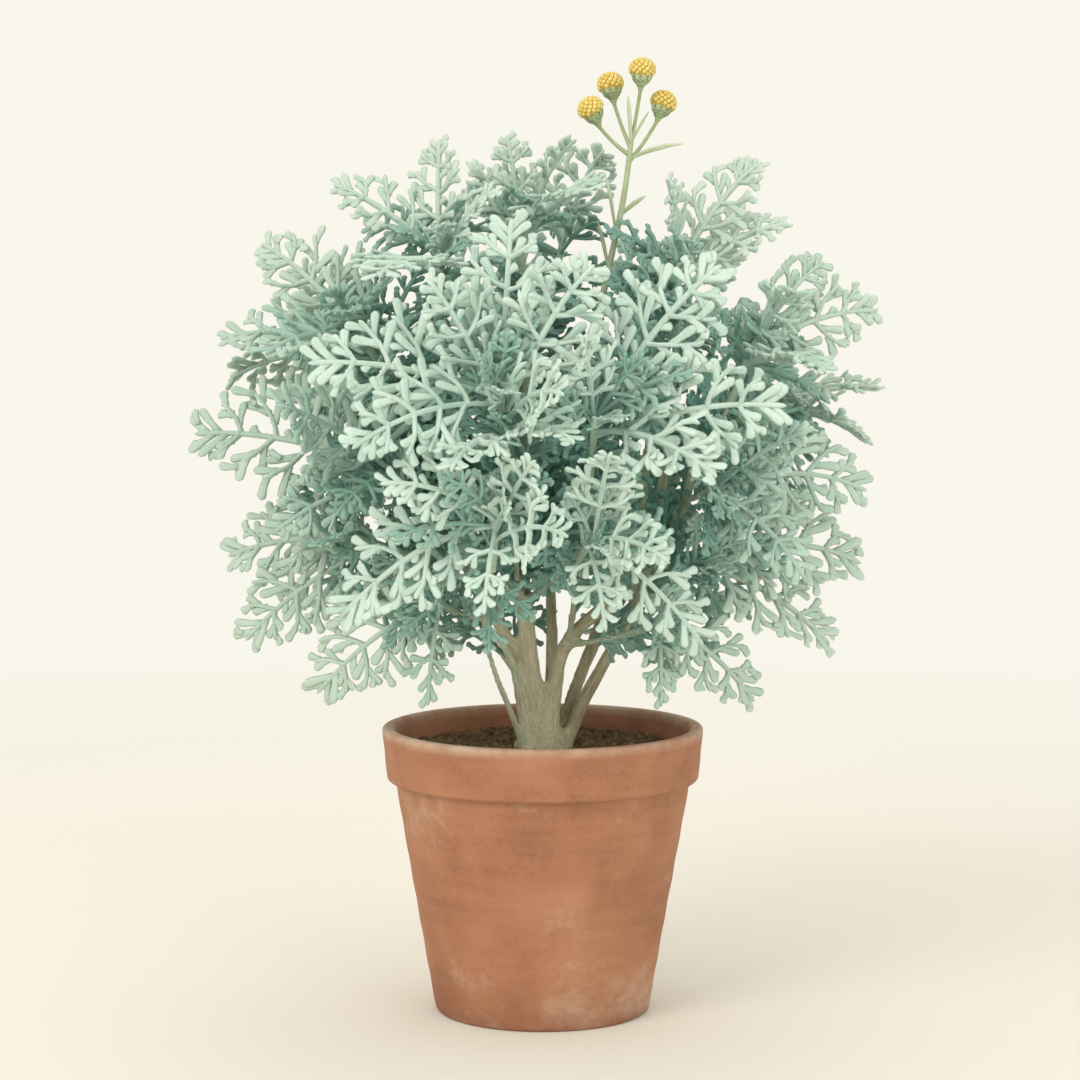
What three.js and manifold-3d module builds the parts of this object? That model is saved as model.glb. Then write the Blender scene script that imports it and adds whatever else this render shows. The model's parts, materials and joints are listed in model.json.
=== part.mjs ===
import * as THREE from 'three';
import Module from 'manifold-3d';

// Potted tree wormwood. Lengths are millimetres, z is up, the pot stands on z = 0 and the plant faces -y.
// Heights written h are measured from the soil.

// Pot and soil
const potHeight = 160;
const potRimRadius = 90;
const potFootRadius = 60;
const potWall = 7;
const potFloor = 9;
const rimBand = 30;
const rimBandStep = 4;
const rimTaper = 3;
const rimRounding = 2;
const footRounding = 2;
const drainHoleRadius = 7;
const soilRings = [68, 46, 28];
const soilWave = 1.1;
const soilEdgeDrop = 2;
const soilBelowRim = 12;
const soilLevel = potHeight - soilBelowRim;
const roundSegments = 24;
const gap = 0.3;

// Root crown, as radius and height over the soil
const crownRadius = 18.4;
const crownDepth = 48;
const crownShows = 1;
const crownProfile = [[8, -crownDepth], [crownRadius, -16], [crownRadius, crownShows]];
const soilHoleDepth = crownDepth + gap;

// Bush outline, an egg shape in which the fronds end
const bush = { x: -2, h: 172, acrossRadius: 192, depthRadius: 178, heightRadius: 160 };

// Fronds: blades cut to the rib into pinnae, the lower of them forked
const bladeThickness = 0.9;
const petioleHalfWidth = 0.9;
const ribHalfWidth = 1.3;
const fingerHalfWidth = 2;
const smallFingerHalfWidth = 0.9;
const fingerGrowth = 0.011;
const pinnaLean = THREE.MathUtils.degToRad(50);
const pinnaFootHalf = 2.2;
const leftPinnaLater = 0.035;
const leftPinnaShorter = 0.94;
const forkFrom = 0.44;
const forkLength = 0.42;
const forkLean = THREE.MathUtils.degToRad(32);
const notchAfterFork = 4;
const frondKinds = [
  { longerThan: 90, starts: [0.22, 0.39, 0.57, 0.75], reach: [0.3, 0.32, 0.27, 0.18], forks: 2 },
  { longerThan: 60, starts: [0.26, 0.47, 0.69], reach: [0.31, 0.3, 0.21], forks: 1 },
  { longerThan: 0, starts: [0.3, 0.6], reach: [0.31, 0.25], forks: 0 },
];

// How fronds differ, as least value and spread: arch and bow in parts of the length, turns in radians,
// and the wave that lifts one pinna over the next
const frondTraits = { arch: [0.1, 0.12], roll: [-0.25, 0.5], twist: [-0.25, 0.5], cup: [0.12, 0.12],
  ripple: [0.1, 0.1], phase: [0, 6.28] };
const frondBow = 0.06;
const ripplePitch = 0.36;
const edgeDroop = 0.003;

// How much a frond faces outward along x, y and z, to its own side of the bush, and up
const facingOutward = [0.6, 0.9, 0.5];
const facingSide = 0.5;
const facingUp = 0.45;
const backHalfFrom = 20;

// Distances kept between pieces, and along the stem from frond to frond
const sampleStep = 4;
const bladeReach = 2.5;
const stemClearance = 0.8;
const lowestLeaf = 20;
const freeBase = 22;
const firstSample = 8;
const firstFrond = 1.2;
const frondSpacing = 3.6;

// Ways in which a frond that meets another piece is bent clear: sideways, roll, rise and size
const frondBends = [
  [0, 0, 0, 1], [0.1, 0, 0, 1], [-0.1, 0, 0, 1], [0, 0.4, 0, 1], [0, -0.4, 0, 1], [0, 0, 0.1, 1],
  [0, 0, -0.1, 1], [0.18, 0.3, 0, 0.95], [-0.18, -0.3, 0, 0.95], [0.14, 0, 0.12, 0.9], [-0.14, 0, 0.12, 0.9],
  [0.26, 0, -0.08, 0.9], [-0.26, 0, -0.08, 0.9], [0, 0, 0.2, 0.82], [0.3, 0.5, 0.1, 0.8], [-0.3, -0.5, 0.1, 0.8],
];

// Main stems as x, y and h, with the radius at the crown and at the end
const mainStems = {
  trunk: { radii: [7.5, 3.2], path: [[-3, -2, -12], [-3, -3, 14], [-8, -8, 56], [-11, -2, 100], [-9, 12, 165],
    [-9, 15, 225]] },
  left: { radii: [4.6, 3.2], path: [[-6, -6, 38], [-22, -6, 66], [-40, -8, 102], [-56, -12, 146], [-60, -14, 222]] },
  lowLeft: { radii: [3.8, 2.6], path: [[-8, -4, -6], [-12, -8, 24], [-18, -15, 52], [-33, -27, 75]] },
  slender: { radii: [3, 2.3], path: [[-10, -7, -6], [-15, -13, 14], [-26, -34, 46], [-32, -52, 70]] },
  right: { radii: [5.5, 3.2], path: [[5, -4, -6], [6, -4, 26], [14, -7, 60], [50, -18, 95], [74, -24, 130],
    [86, -22, 170]] },
  farRight: { radii: [4.6, 3.2], path: [[10, 2, -6], [24, 5, 27], [42, 8, 60], [56, 10, 90], [66, 8, 140],
    [72, 2, 200]] },
  backLeft: { radii: [4.6, 3.2], path: [[-5, 8, -6], [-14, 24, 38], [-30, 45, 82], [-44, 58, 130],
    [-48, 58, 165]] },
  back: { radii: [4.6, 3.2], path: [[1, 9, -6], [5, 28, 40], [4, 52, 90], [-6, 60, 186]] },
  backRight: { radii: [4.6, 3.2], path: [[7, 7, -6], [20, 20, 34], [40, 40, 82], [56, 50, 128], [60, 48, 165]] },
};

// Leafy shoots: where each leaves the wood (x, y, h), where it ends and where its fronds end.
// An end is x, h and how deep it lies in the bush: -1 on the front, 1 on the back, 0 half way.
const shoots = [
  { name: 'front_upper', root: [-11, -8, 78], at: [-22, 200, -0.68], tips: [[-120, 218, -0.98], [-96, 176, -1.02],
    [-65, 256, -1], [-16, 292, -1], [26, 268, -1], [10, 204, -1.02], [8, 170, -0.96], [-46, 166, -1]] },
  { name: 'front_lower', root: [-32, -52, 70], at: [-24, 138, -0.72], tips: [[-82, 158, -0.95], [-106, 84, -0.94],
    [-30, 92, -1.02], [-4, 170, -0.88], [12, 140, -1]] },
  { name: 'front_centre', root: [-9, -6, 84], at: [27, 128, -0.68], tips: [[34, 174, -0.94], [64, 142, -0.98],
    [84, 70, -0.94], [32, 82, -1]] },
  { name: 'front_high', root: [14, -7, 60], at: [27, 189, -0.6], tips: [[92, 268, -0.98], [20, 228, -0.9],
    [82, 156, -1], [124, 216, -1]] },
  { name: 'left_middle', root: [-46, -9, 118], at: [-78, 156, -0.28], tips: [[-191, 176, -0.5], [-166, 138, -0.5],
    [-138, 196, -0.9], [-128, 200, 0.2]] },
  { name: 'left_upper', root: [-60, -12, 186], at: [-98, 230, -0.3], tips: [[-154, 280, -0.3], [-176, 228, -0.5],
    [-144, 222, -1], [-128, 262, 0.5]] },
  { name: 'top_left', root: [-60, -14, 218], at: [-56, 274, -0.2], tips: [[-114, 312, -0.5], [-62, 336, -0.5],
    [-30, 326, -0.85], [-84, 262, -0.95]] },
  { name: 'top', root: [-9, 15, 218], at: [-12, 288, 0], tips: [[-20, 340, 0], [16, 336, -0.5], [26, 306, -0.8],
    [-40, 326, 0.6]] },
  { name: 'top_right', root: [72, 2, 190], at: [74, 268, -0.15], tips: [[120, 324, -0.4], [82, 326, -0.7],
    [134, 290, -0.7], [116, 298, 0.5]] },
  { name: 'right_upper', root: [86, -22, 164], at: [114, 226, -0.25], tips: [[154, 270, -0.4], [184, 244, -0.4],
    [134, 254, -0.95], [148, 212, -0.95]] },
  { name: 'right_middle', root: [68, 8, 156], at: [118, 190, 0.15], tips: [[188, 200, 0.2], [178, 172, -0.5],
    [152, 220, 0.85], [160, 160, 0.8]] },
  { name: 'right_front', root: [78, -24, 140], at: [92, 150, -0.45], tips: [[136, 182, -0.95], [176, 146, -0.6],
    [138, 104, -0.95]] },
  { name: 'right_lower', root: [54, -18, 98], at: [84, 108, -0.3], tips: [[176, 104, -0.3], [158, 60, -0.6],
    [146, 130, 0.4]] },
  { name: 'low_right', root: [14, -7, 58], at: [66, 76, -0.4], tips: [[116, 30, -0.9], [64, 30, -0.95]] },
  { name: 'low_left', root: [-33, -27, 75], at: [-58, 88, -0.4], tips: [[-124, 34, -0.8], [-62, 32, -0.95]] },
  { name: 'left_lower', root: [-40, -8, 102], at: [-94, 118, -0.2], tips: [[-176, 106, 0.3], [-164, 62, -0.5],
    [-146, 78, 0.8]] },
  { name: 'top_back', root: [-9, 15, 218], at: [12, 284, 0.4], tips: [[-26, 324, 0.9], [34, 332, 0.4],
    [10, 300, 0.98]] },
  { name: 'back_left_upper', root: [-48, 58, 160], at: [-92, 218, 0.42], tips: [[-140, 268, 0.7],
    [-176, 206, 0.4], [-104, 256, 0.98], [-136, 172, 0.95]] },
  { name: 'back_upper', root: [-6, 60, 182], at: [-24, 236, 0.66], tips: [[-64, 290, 0.92], [-8, 296, 1],
    [24, 246, 1]] },
  { name: 'back_right_upper', root: [60, 48, 160], at: [62, 228, 0.58], tips: [[112, 282, 0.9], [46, 284, 0.98],
    [138, 226, 0.98]] },
  { name: 'back_left_middle', root: [-36, 50, 100], at: [-64, 150, 0.62], tips: [[-130, 124, 0.95],
    [-110, 186, 1], [-40, 190, 1]] },
  { name: 'back_middle', root: [2, 54, 110], at: [6, 160, 0.7], tips: [[-34, 148, 1], [48, 164, 1],
    [2, 214, 1], [10, 102, 1]] },
  { name: 'back_right_middle', root: [48, 45, 104], at: [84, 158, 0.5], tips: [[150, 176, 0.95], [104, 196, 1],
    [138, 122, 0.95]] },
  { name: 'back_low_left', root: [-14, 24, 38], at: [-48, 84, 0.55], tips: [[-112, 66, 0.9], [-64, 36, 0.95],
    [-14, 70, 1]] },
  { name: 'back_low_right', root: [20, 20, 34], at: [46, 84, 0.55], tips: [[110, 72, 0.9], [76, 34, 0.95],
    [28, 48, 1]] },
];

// Flower stalk as x, y and h, its four heads, and its bracts as start and end
const stalkPath = [[30, -8, 240], [36, -12, 266], [44, -16, 304], [48, -18, 334]];
const stalkRoot = [-9, 12, 165];
const stalkGreenLength = 30;
const stalkRadii = [2.2, 1.5];
const headRadius = 6.8;
const headFlatness = 0.88;
const headFoot = 4.2;
const floretHeight = 0.9;
const floretsAbove = -2.2;
const headSpots = [[26, -24, 353], [37, -10, 367], [54, -22, 374], [66, -12, 357]];
const forkHeights = [328, 332, 332, 324];
const headUprightness = 0.5;
const cupBelowHead = [-12, -8.6, -6.2, -headFoot - gap];
const cupRadii = [1, 2.4, 4.6, 5.4];
const forkRadius = 1.1;
const bracts = [
  [[47, -17.6, 326], [76, -24, 334]], [[40, -14, 286], [34, -19, 318]], [[36, -12, 266], [30, -18, 292]],
  [[42, -15, 295], [56, -21, 306]], [[48, -18, 334], [46, -27, 360]], [[48, -18, 334], [58, -12, 352]],
];
const bractTraits = { arch: 0.06, roll: 0, twist: 0.2, cup: 0.1, ripple: 0, phase: 0 };
const bractHalfWidths = [0.8, 1.5, 0.7];
const bractWidest = 0.6;

// Branches that lead to the shoots, and the green stems on their ends
const branchRadius = 2.6;
const leafyLength = 38;
const leafyRadii = [2.3, 2.1];
const kneeOut = 0.6;
const kneeUp = 0.4;
const sides = { crown: 8, main: 5, branch: 4, leafy: 5, stalk: 6, cup: 7 };

const wasm = await Module();
wasm.setup();

// One row of even numbers between 0 and 1, always the same from the same seed
let seed = 2207;
function draw() {
  seed = (seed * 1664525 + 1013904223) % 4294967296;
  return seed / 4294967296;
}

function vector(x, y, z) {
  return new THREE.Vector3(x, y, z);
}

function overSoil(spot) {
  return vector(spot[0], spot[1], soilLevel + spot[2]);
}

// A spot in the bush from x, height and depth
function inBush(x, h, depth) {
  const inside = 1 - ((x - bush.x) / bush.acrossRadius) ** 2 - ((h - bush.h) / bush.heightRadius) ** 2;
  return vector(x, depth * bush.depthRadius * Math.sqrt(Math.max(inside, 0.04)), soilLevel + h);
}

function bezier(a, b, c, u) {
  const v = 1 - u;
  return a.clone().multiplyScalar(v * v).addScaledVector(b, 2 * u * v).addScaledVector(c, u * u);
}

function asSolid(positions, triangles) {
  return new wasm.Manifold(new wasm.Mesh({
    numProp: 3,
    vertProperties: new Float32Array(positions),
    triVerts: new Uint32Array(triangles),
  }));
}

function joined(solids) {
  return wasm.Manifold.union(solids);
}

// Round stem along a row of points, one radius for each
function stem(points, radii, sideCount) {
  const positions = [];
  const triangles = [];
  const last = points.length - 1;
  const across = vector(1, 0, 0);
  points.forEach((point, i) => {
    const ahead = points[Math.min(i + 1, last)].clone().sub(points[Math.max(i - 1, 0)]).normalize();
    across.addScaledVector(ahead, -across.dot(ahead)).normalize();
    const beside = ahead.clone().cross(across);
    for (let k = 0; k < sideCount; k += 1) {
      const turn = (2 * Math.PI * k) / sideCount;
      const spot = point.clone().addScaledVector(across, radii[i] * Math.cos(turn));
      spot.addScaledVector(beside, radii[i] * Math.sin(turn));
      positions.push(spot.x, spot.y, spot.z);
    }
  });
  for (let i = 0; i < last; i += 1) {
    for (let k = 0; k < sideCount; k += 1) {
      const a = i * sideCount + k;
      const b = i * sideCount + ((k + 1) % sideCount);
      triangles.push(a, b, b + sideCount, a, b + sideCount, a + sideCount);
    }
  }
  for (let k = 1; k + 1 < sideCount; k += 1) {
    triangles.push(0, k + 1, k);
    triangles.push(last * sideCount, last * sideCount + k, last * sideCount + k + 1);
  }
  return asSolid(positions, triangles);
}

function evenRadii(count, first, final) {
  return Array.from({ length: count }, (unused, i) => first + ((final - first) * i) / (count - 1));
}

// Solid turned about the z axis from pairs of radius and height, which close on themselves
function turned(profile, riseAt = () => 0) {
  const positions = [];
  const triangles = [];
  const rows = profile.map(([radius, z], i) => {
    const row = [];
    for (let k = 0; k < roundSegments; k += 1) {
      const turn = (2 * Math.PI * k) / roundSegments;
      if (radius > 0 || k === 0) {
        positions.push(radius * Math.cos(turn), radius * Math.sin(turn), z + riseAt(i, turn));
      }
      row.push(positions.length / 3 - 1);
    }
    return row;
  });
  rows.forEach((row, i) => {
    const above = rows[(i + 1) % rows.length];
    for (let k = 0; k < roundSegments; k += 1) {
      const next = (k + 1) % roundSegments;
      if (row[k] !== row[next]) {
        triangles.push(row[k], row[next], above[next]);
      }
      if (above[k] !== above[next]) {
        triangles.push(row[k], above[next], above[k]);
      }
    }
  });
  return asSolid(positions, triangles);
}

// Spots that pieces already fill, kept in a grid of cells
const filled = new Map();
const cellSize = 16;

function cellOf(value) {
  return Math.floor(value / cellSize);
}

function fill(spot, radius, owner) {
  const key = `${cellOf(spot.x)},${cellOf(spot.y)},${cellOf(spot.z)}`;
  if (!filled.has(key)) {
    filled.set(key, []);
  }
  filled.get(key).push({ spot, radius, owner });
}

function meets(spot, radius, owner, friends) {
  if (spot.z < soilLevel + lowestLeaf) {
    return true;
  }
  for (let i = -1; i <= 1; i += 1) {
    for (let j = -1; j <= 1; j += 1) {
      for (let k = -1; k <= 1; k += 1) {
        const key = `${cellOf(spot.x) + i},${cellOf(spot.y) + j},${cellOf(spot.z) + k}`;
        const near = filled.get(key) || [];
        const free = (other) => friends && other.owner.startsWith(owner);
        if (near.some((other) => !free(other) && other.spot.distanceTo(spot) < radius + other.radius)) {
          return true;
        }
      }
    }
  }
  return false;
}

function fillAlong(points, radii, owner) {
  for (let i = 0; i + 1 < points.length; i += 1) {
    const count = Math.ceil(points[i].distanceTo(points[i + 1]) / sampleStep);
    for (let k = 0; k <= count; k += 1) {
      const radius = radii[i] + ((radii[i + 1] - radii[i]) * k) / count;
      fill(points[i].clone().lerp(points[i + 1], k / count), radius + stemClearance, owner);
    }
  }
}

// Where a spot of a frond lies: s along the rib, t to the left of it
function onFrond(frond, s, t) {
  const u = Math.min(s / frond.length, 1);
  const ahead = frond.knee.clone().sub(frond.base).multiplyScalar(1 - u);
  ahead.addScaledVector(frond.tip.clone().sub(frond.knee), u).normalize();
  const face = frond.face.clone().addScaledVector(ahead, -frond.face.dot(ahead)).normalize();
  const side = face.clone().cross(ahead);
  const turn = frond.roll + frond.twist * u;
  const normal = face.clone().multiplyScalar(Math.cos(turn)).addScaledVector(side, Math.sin(turn));
  const left = normal.clone().cross(ahead);
  const wave = frond.cup + frond.ripple * Math.sin(ripplePitch * s + frond.phase);
  const spot = bezier(frond.base, frond.knee, frond.tip, u);
  spot.addScaledVector(left, t).addScaledVector(normal, wave * Math.abs(t) - edgeDroop * t * t);
  return { spot, normal };
}

// Pinnae of a frond, each with its start on the rib, its side and length, and whether it is forked
function pinnaeOf(frond) {
  const kind = frondKinds.find((one) => frond.length > one.longerThan);
  const pinnae = [];
  kind.starts.forEach((start, i) => {
    pinnae.push({
      start: start * frond.length,
      side: -1,
      length: kind.reach[i] * frond.length,
      forked: i < kind.forks,
    });
    pinnae.push({
      start: (start + leftPinnaLater * (1 - start)) * frond.length,
      side: 1,
      length: leftPinnaShorter * kind.reach[i] * frond.length,
      forked: i > 0 && i < kind.forks,
    });
  });
  return pinnae;
}

// A spot of a pinna in the frond's own s and t: along the pinna, and towards the frond's tip
function onPinna(pinna, along, towardTip) {
  return [
    pinna.start + along * Math.cos(pinnaLean) + towardTip * Math.sin(pinnaLean),
    pinna.side * (along * Math.sin(pinnaLean) - towardTip * Math.cos(pinnaLean)),
  ];
}

// The same for a spot of its fork: along the fork, and to the side of it
function onFork(pinna, along, beside) {
  return onPinna(
    pinna,
    forkFrom * pinna.length + along * Math.cos(forkLean) - beside * Math.sin(forkLean),
    along * Math.sin(forkLean) + beside * Math.cos(forkLean),
  );
}

function pinnaSamples(pinna) {
  const samples = [];
  for (let along = pinna.length; along > sampleStep; along -= sampleStep) {
    samples.push(onPinna(pinna, along, 0));
  }
  if (pinna.forked) {
    for (let along = forkLength * pinna.length; along > 0; along -= sampleStep) {
      samples.push(onFork(pinna, along, 0));
    }
  }
  return samples;
}

function pinnaOutline(pinna, half) {
  const edge = pinna.side * ribHalfWidth;
  const outline = [[pinna.start - pinnaFootHalf, edge]];
  outline.push(onPinna(pinna, pinna.length, -half), onPinna(pinna, pinna.length, half));
  if (pinna.forked) {
    outline.push(onPinna(pinna, forkFrom * pinna.length + notchAfterFork, ribHalfWidth));
    outline.push(onFork(pinna, forkLength * pinna.length, -half));
    outline.push(onFork(pinna, forkLength * pinna.length, half));
  }
  outline.push([pinna.start + pinnaFootHalf, edge]);
  return outline;
}

function frondOutline(frond, pinnae) {
  const end = frond.length;
  const half = Math.min(fingerHalfWidth, smallFingerHalfWidth + fingerGrowth * end);
  const right = pinnae.filter((pinna) => pinna.side < 0);
  const left = pinnae.filter((pinna) => pinna.side > 0).reverse();
  return [
    [0, -petioleHalfWidth],
    ...right.flatMap((pinna) => pinnaOutline(pinna, half)),
    [end, -half],
    [end, half],
    ...left.flatMap((pinna) => pinnaOutline(pinna, half).reverse()),
    [0, petioleHalfWidth],
  ];
}

// Thin blade cut to the outline, alike on both faces
function bladeSolid(frond, outline) {
  const faces = THREE.ShapeUtils.triangulateShape(outline.map(([s, t]) => new THREE.Vector2(s, t)), []);
  const positions = [];
  const triangles = [];
  const count = outline.length;
  for (const offset of [bladeThickness / 2, -bladeThickness / 2]) {
    outline.forEach(([s, t]) => {
      const { spot, normal } = onFrond(frond, s, t);
      spot.addScaledVector(normal, offset);
      positions.push(spot.x, spot.y, spot.z);
    });
  }
  faces.forEach(([a, b, c]) => {
    triangles.push(a, b, c);
    triangles.push(a + count, c + count, b + count);
  });
  for (let i = 0; i < count; i += 1) {
    const j = (i + 1) % count;
    triangles.push(i + count, j + count, j, i + count, j, i);
  }
  return asSolid(positions, triangles);
}

function facingOf(middle) {
  const outward = middle.clone().sub(vector(bush.x, 0, soilLevel + bush.h));
  const facing = outward.multiply(vector(...facingOutward)).normalize();
  return facing.add(vector(0, middle.y > backHalfFrom ? facingSide : -facingSide, facingUp)).normalize();
}

function makeFrond(base, aim, bend, traits) {
  const [sideways, roll, rise, size] = bend;
  const reach = aim.clone().sub(base);
  const distance = reach.length();
  const face = facingOf(base.clone().lerp(aim, 0.6));
  const beside = face.clone().cross(reach).normalize();
  const tip = base.clone().addScaledVector(reach, size);
  tip.addScaledVector(beside, sideways * distance).addScaledVector(vector(0, 0, 1), rise * distance);
  const knee = base.clone().lerp(tip, 0.5);
  knee.addScaledVector(vector(0, 0, 1), traits.arch * distance).addScaledVector(face, frondBow * distance);
  const length = (base.distanceTo(tip) + base.distanceTo(knee) + knee.distanceTo(tip)) / 2;
  return { ...traits, base, tip, knee, face, length, roll: traits.roll + roll };
}

// The frond as it can grow: bent clear of other pieces, without the pinnae that still meet one
function growFrond(base, aim, owner) {
  const traits = {};
  Object.entries(frondTraits).forEach(([name, [least, spread]]) => {
    traits[name] = least + spread * draw();
  });
  let best = null;
  for (const bend of frondBends) {
    const frond = makeFrond(base, aim, bend, traits);
    const ribSpots = [];
    for (let s = firstSample; s < frond.length; s += sampleStep) {
      ribSpots.push(onFrond(frond, s, 0).spot);
    }
    ribSpots.push(onFrond(frond, frond.length, 0).spot);
    const blocks = (spot) => meets(spot, bladeReach, owner, spot.distanceTo(base) < freeBase);
    const blocked = ribSpots.filter(blocks).length;
    const pinnae = [];
    const spots = [...ribSpots];
    const all = pinnaeOf(frond);
    all.forEach((pinna) => {
      const pinnaSpots = pinnaSamples(pinna).map(([s, t]) => onFrond(frond, s, t).spot);
      if (!pinnaSpots.some(blocks)) {
        pinnae.push(pinna);
        spots.push(...pinnaSpots);
      }
    });
    const fault = blocked * 100 + all.length - pinnae.length;
    if (!best || fault < best.fault) {
      best = { frond, pinnae, spots, fault, blocked };
    }
    if (fault === 0) {
      break;
    }
  }
  if (best.blocked > 0) {
    return null;
  }
  best.spots.forEach((spot) => fill(spot, bladeReach, owner));
  return best;
}

// Wood
const woodParts = [];
const crownSpots = crownProfile.map(([, h]) => overSoil([0, 0, h]));
woodParts.push(stem(crownSpots, crownProfile.map(([radius]) => radius), sides.crown));
Object.values(mainStems).forEach(({ radii, path }) => {
  const points = path.map(overSoil);
  const sizes = evenRadii(points.length, ...radii);
  woodParts.push(stem(points, sizes, sides.main));
  fillAlong(points, sizes, 'wood');
});

// Branch of the wood towards an end, and the green stem that stands on it
function branch(start, end, greenLength, owner) {
  const knee = start.clone().add(end.clone().sub(start).multiply(vector(kneeOut, kneeOut, kneeUp)));
  const length = start.distanceTo(end);
  const split = 1 - Math.min(greenLength / length, 0.5);
  const woodPoints = [0, 0.5, 1].map((u) => bezier(start, knee, end, u * split));
  const woodRadii = evenRadii(3, branchRadius, leafyRadii[0]);
  woodParts.push(stem(woodPoints, woodRadii, sides.branch));
  fillAlong(woodPoints, woodRadii, 'wood');
  const clear = split + gap / length;
  const points = [0, 0.5, 1].map((u) => bezier(start, knee, end, clear + u * (1 - clear)));
  fillAlong(points, evenRadii(3, ...leafyRadii), owner);
  return points;
}

const leafy = shoots.map((shoot) => {
  const points = branch(overSoil(shoot.root), inBush(...shoot.at), leafyLength, shoot.name);
  return { ...shoot, points, parts: [stem(points, evenRadii(3, ...leafyRadii), sides.leafy)] };
});

// Flower stalk with its forks, cups and bracts, and the heads that stand in the cups
const stalkStart = branch(overSoil(stalkRoot), overSoil(stalkPath[0]), stalkGreenLength, 'flower');
const stalkPoints = [stalkStart[0], ...stalkPath.map(overSoil)];
const stalkSizes = evenRadii(stalkPoints.length, ...stalkRadii);
fillAlong(stalkPoints, stalkSizes, 'flower');
const stalkParts = [stem(stalkPoints, stalkSizes, sides.stalk)];
const [stalkLow, stalkTop] = stalkPoints.slice(-2);
const heads = headSpots.map((head, i) => {
  const centre = overSoil(head);
  const share = (soilLevel + forkHeights[i] - stalkLow.z) / (stalkTop.z - stalkLow.z);
  const fork = stalkLow.clone().lerp(stalkTop, share);
  const axis = centre.clone().sub(fork).normalize();
  axis.add(vector(0, 0, headUprightness)).normalize();
  const cupSpots = cupBelowHead.map((below) => centre.clone().addScaledVector(axis, below));
  stalkParts.push(stem([fork, ...cupSpots], [forkRadius, ...cupRadii], sides.cup));
  return { centre, axis };
});
bracts.forEach(([from, to]) => {
  const bract = makeFrond(overSoil(from), overSoil(to), frondBends[0], bractTraits);
  const [foot, middle, end] = bractHalfWidths;
  const widest = bractWidest * bract.length;
  stalkParts.push(bladeSolid(bract, [
    [0, -foot], [widest, -middle], [bract.length, -end], [bract.length, end], [widest, middle], [0, foot],
  ]));
});

// Button head: a ball with a flat foot, every face raised to a floret
const sameSpot = 0.01;

function headSolid({ centre, axis }) {
  const ball = new THREE.IcosahedronGeometry(headRadius, 1).getAttribute('position');
  const turn = new THREE.Quaternion().setFromUnitVectors(vector(0, 0, 1), axis);
  const corners = [];
  const triangles = [];
  const place = (spot) => {
    const same = corners.findIndex((other) => other.distanceTo(spot) < sameSpot);
    return same < 0 ? corners.push(spot) - 1 : same;
  };
  for (let i = 0; i < ball.count; i += 3) {
    const spots = [0, 1, 2].map((k) => new THREE.Vector3().fromBufferAttribute(ball, i + k));
    const middle = spots[0].clone().add(spots[1]).add(spots[2]).divideScalar(3);
    const [a, b, c] = spots.map((spot) => place(vector(spot.x, spot.y, Math.max(headFlatness * spot.z, -headFoot))));
    if (middle.z > floretsAbove) {
      const floret = middle.clone().normalize().multiplyScalar(headRadius + floretHeight);
      const top = place(vector(floret.x, floret.y, headFlatness * floret.z));
      triangles.push(a, b, top, b, c, top, c, a, top);
    } else {
      triangles.push(a, b, c);
    }
  }
  const placed = corners.map((spot) => spot.applyQuaternion(turn).add(centre));
  return asSolid(placed.flatMap((spot) => spot.toArray()), triangles);
}

// Fronds, leaf by leaf round the bush so that none takes all the room
const mostFronds = Math.max(...shoots.map((shoot) => shoot.tips.length));
for (let turn = 0; turn < mostFronds; turn += 1) {
  leafy.forEach((shoot) => {
    if (turn < shoot.tips.length) {
      const back = firstFrond + turn * frondSpacing;
      const base = shoot.points[2].clone();
      base.addScaledVector(shoot.points[1].clone().sub(base).normalize(), back);
      const grown = growFrond(base, inBush(...shoot.tips[turn]), shoot.name);
      if (grown) {
        shoot.parts.push(bladeSolid(grown.frond, frondOutline(grown.frond, grown.pinnae)));
      }
    }
  });
}

// Pot and soil
const bandFoot = potHeight - rimBand;
const wallTop = potRimRadius - rimTaper - rimBandStep;
const wallRadius = potFootRadius + ((wallTop - potFootRadius) * bandFoot) / (bandFoot + rimTaper);
const insideRadius = (z) => potFootRadius - potWall + ((potRimRadius - potFootRadius) * z) / potHeight;
const pot = turned([
  [drainHoleRadius, 0],
  [potFootRadius - footRounding, 0],
  [potFootRadius, footRounding],
  [wallRadius, bandFoot],
  [potRimRadius - rimTaper, bandFoot + rimRounding],
  [potRimRadius, potHeight - rimRounding],
  [potRimRadius - rimRounding, potHeight],
  [insideRadius(potHeight) + rimRounding / 2, potHeight],
  [insideRadius(potHeight - rimRounding), potHeight - rimRounding],
  [insideRadius(potFloor), potFloor],
  [drainHoleRadius, potFloor],
]);
const soilHoleRadius = (crownRadius + gap) / Math.cos(Math.PI / roundSegments);
const soilEdge = soilLevel - soilEdgeDrop;
const soil = turned([
  [0, potFloor + gap],
  [insideRadius(potFloor) - gap, potFloor + gap],
  [insideRadius(soilEdge) - gap, soilEdge],
  ...soilRings.map((radius) => [radius, soilLevel]),
  [soilHoleRadius, soilLevel - crownShows],
  [soilHoleRadius, soilLevel - soilHoleDepth],
  [0, soilLevel - soilHoleDepth],
], (row, turn) => {
  const onTop = row > 2 && row < 3 + soilRings.length;
  return onTop ? soilWave * Math.sin(3 * turn + 2 * row) : 0;
});

const paints = {
  clay: new THREE.MeshStandardMaterial({ color: '#c08a68', roughness: 0.85 }),
  earth: new THREE.MeshStandardMaterial({ color: '#5a4636', roughness: 0.95 }),
  bark: new THREE.MeshStandardMaterial({ color: '#a0996f', roughness: 0.8 }),
  leaf: new THREE.MeshStandardMaterial({ color: '#a9c4b3', roughness: 0.8 }),
  stalk: new THREE.MeshStandardMaterial({ color: '#b4bf90', roughness: 0.7 }),
  flower: new THREE.MeshStandardMaterial({ color: '#e2c25c', roughness: 0.8 }),
};

const plant = new THREE.Group();

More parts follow.
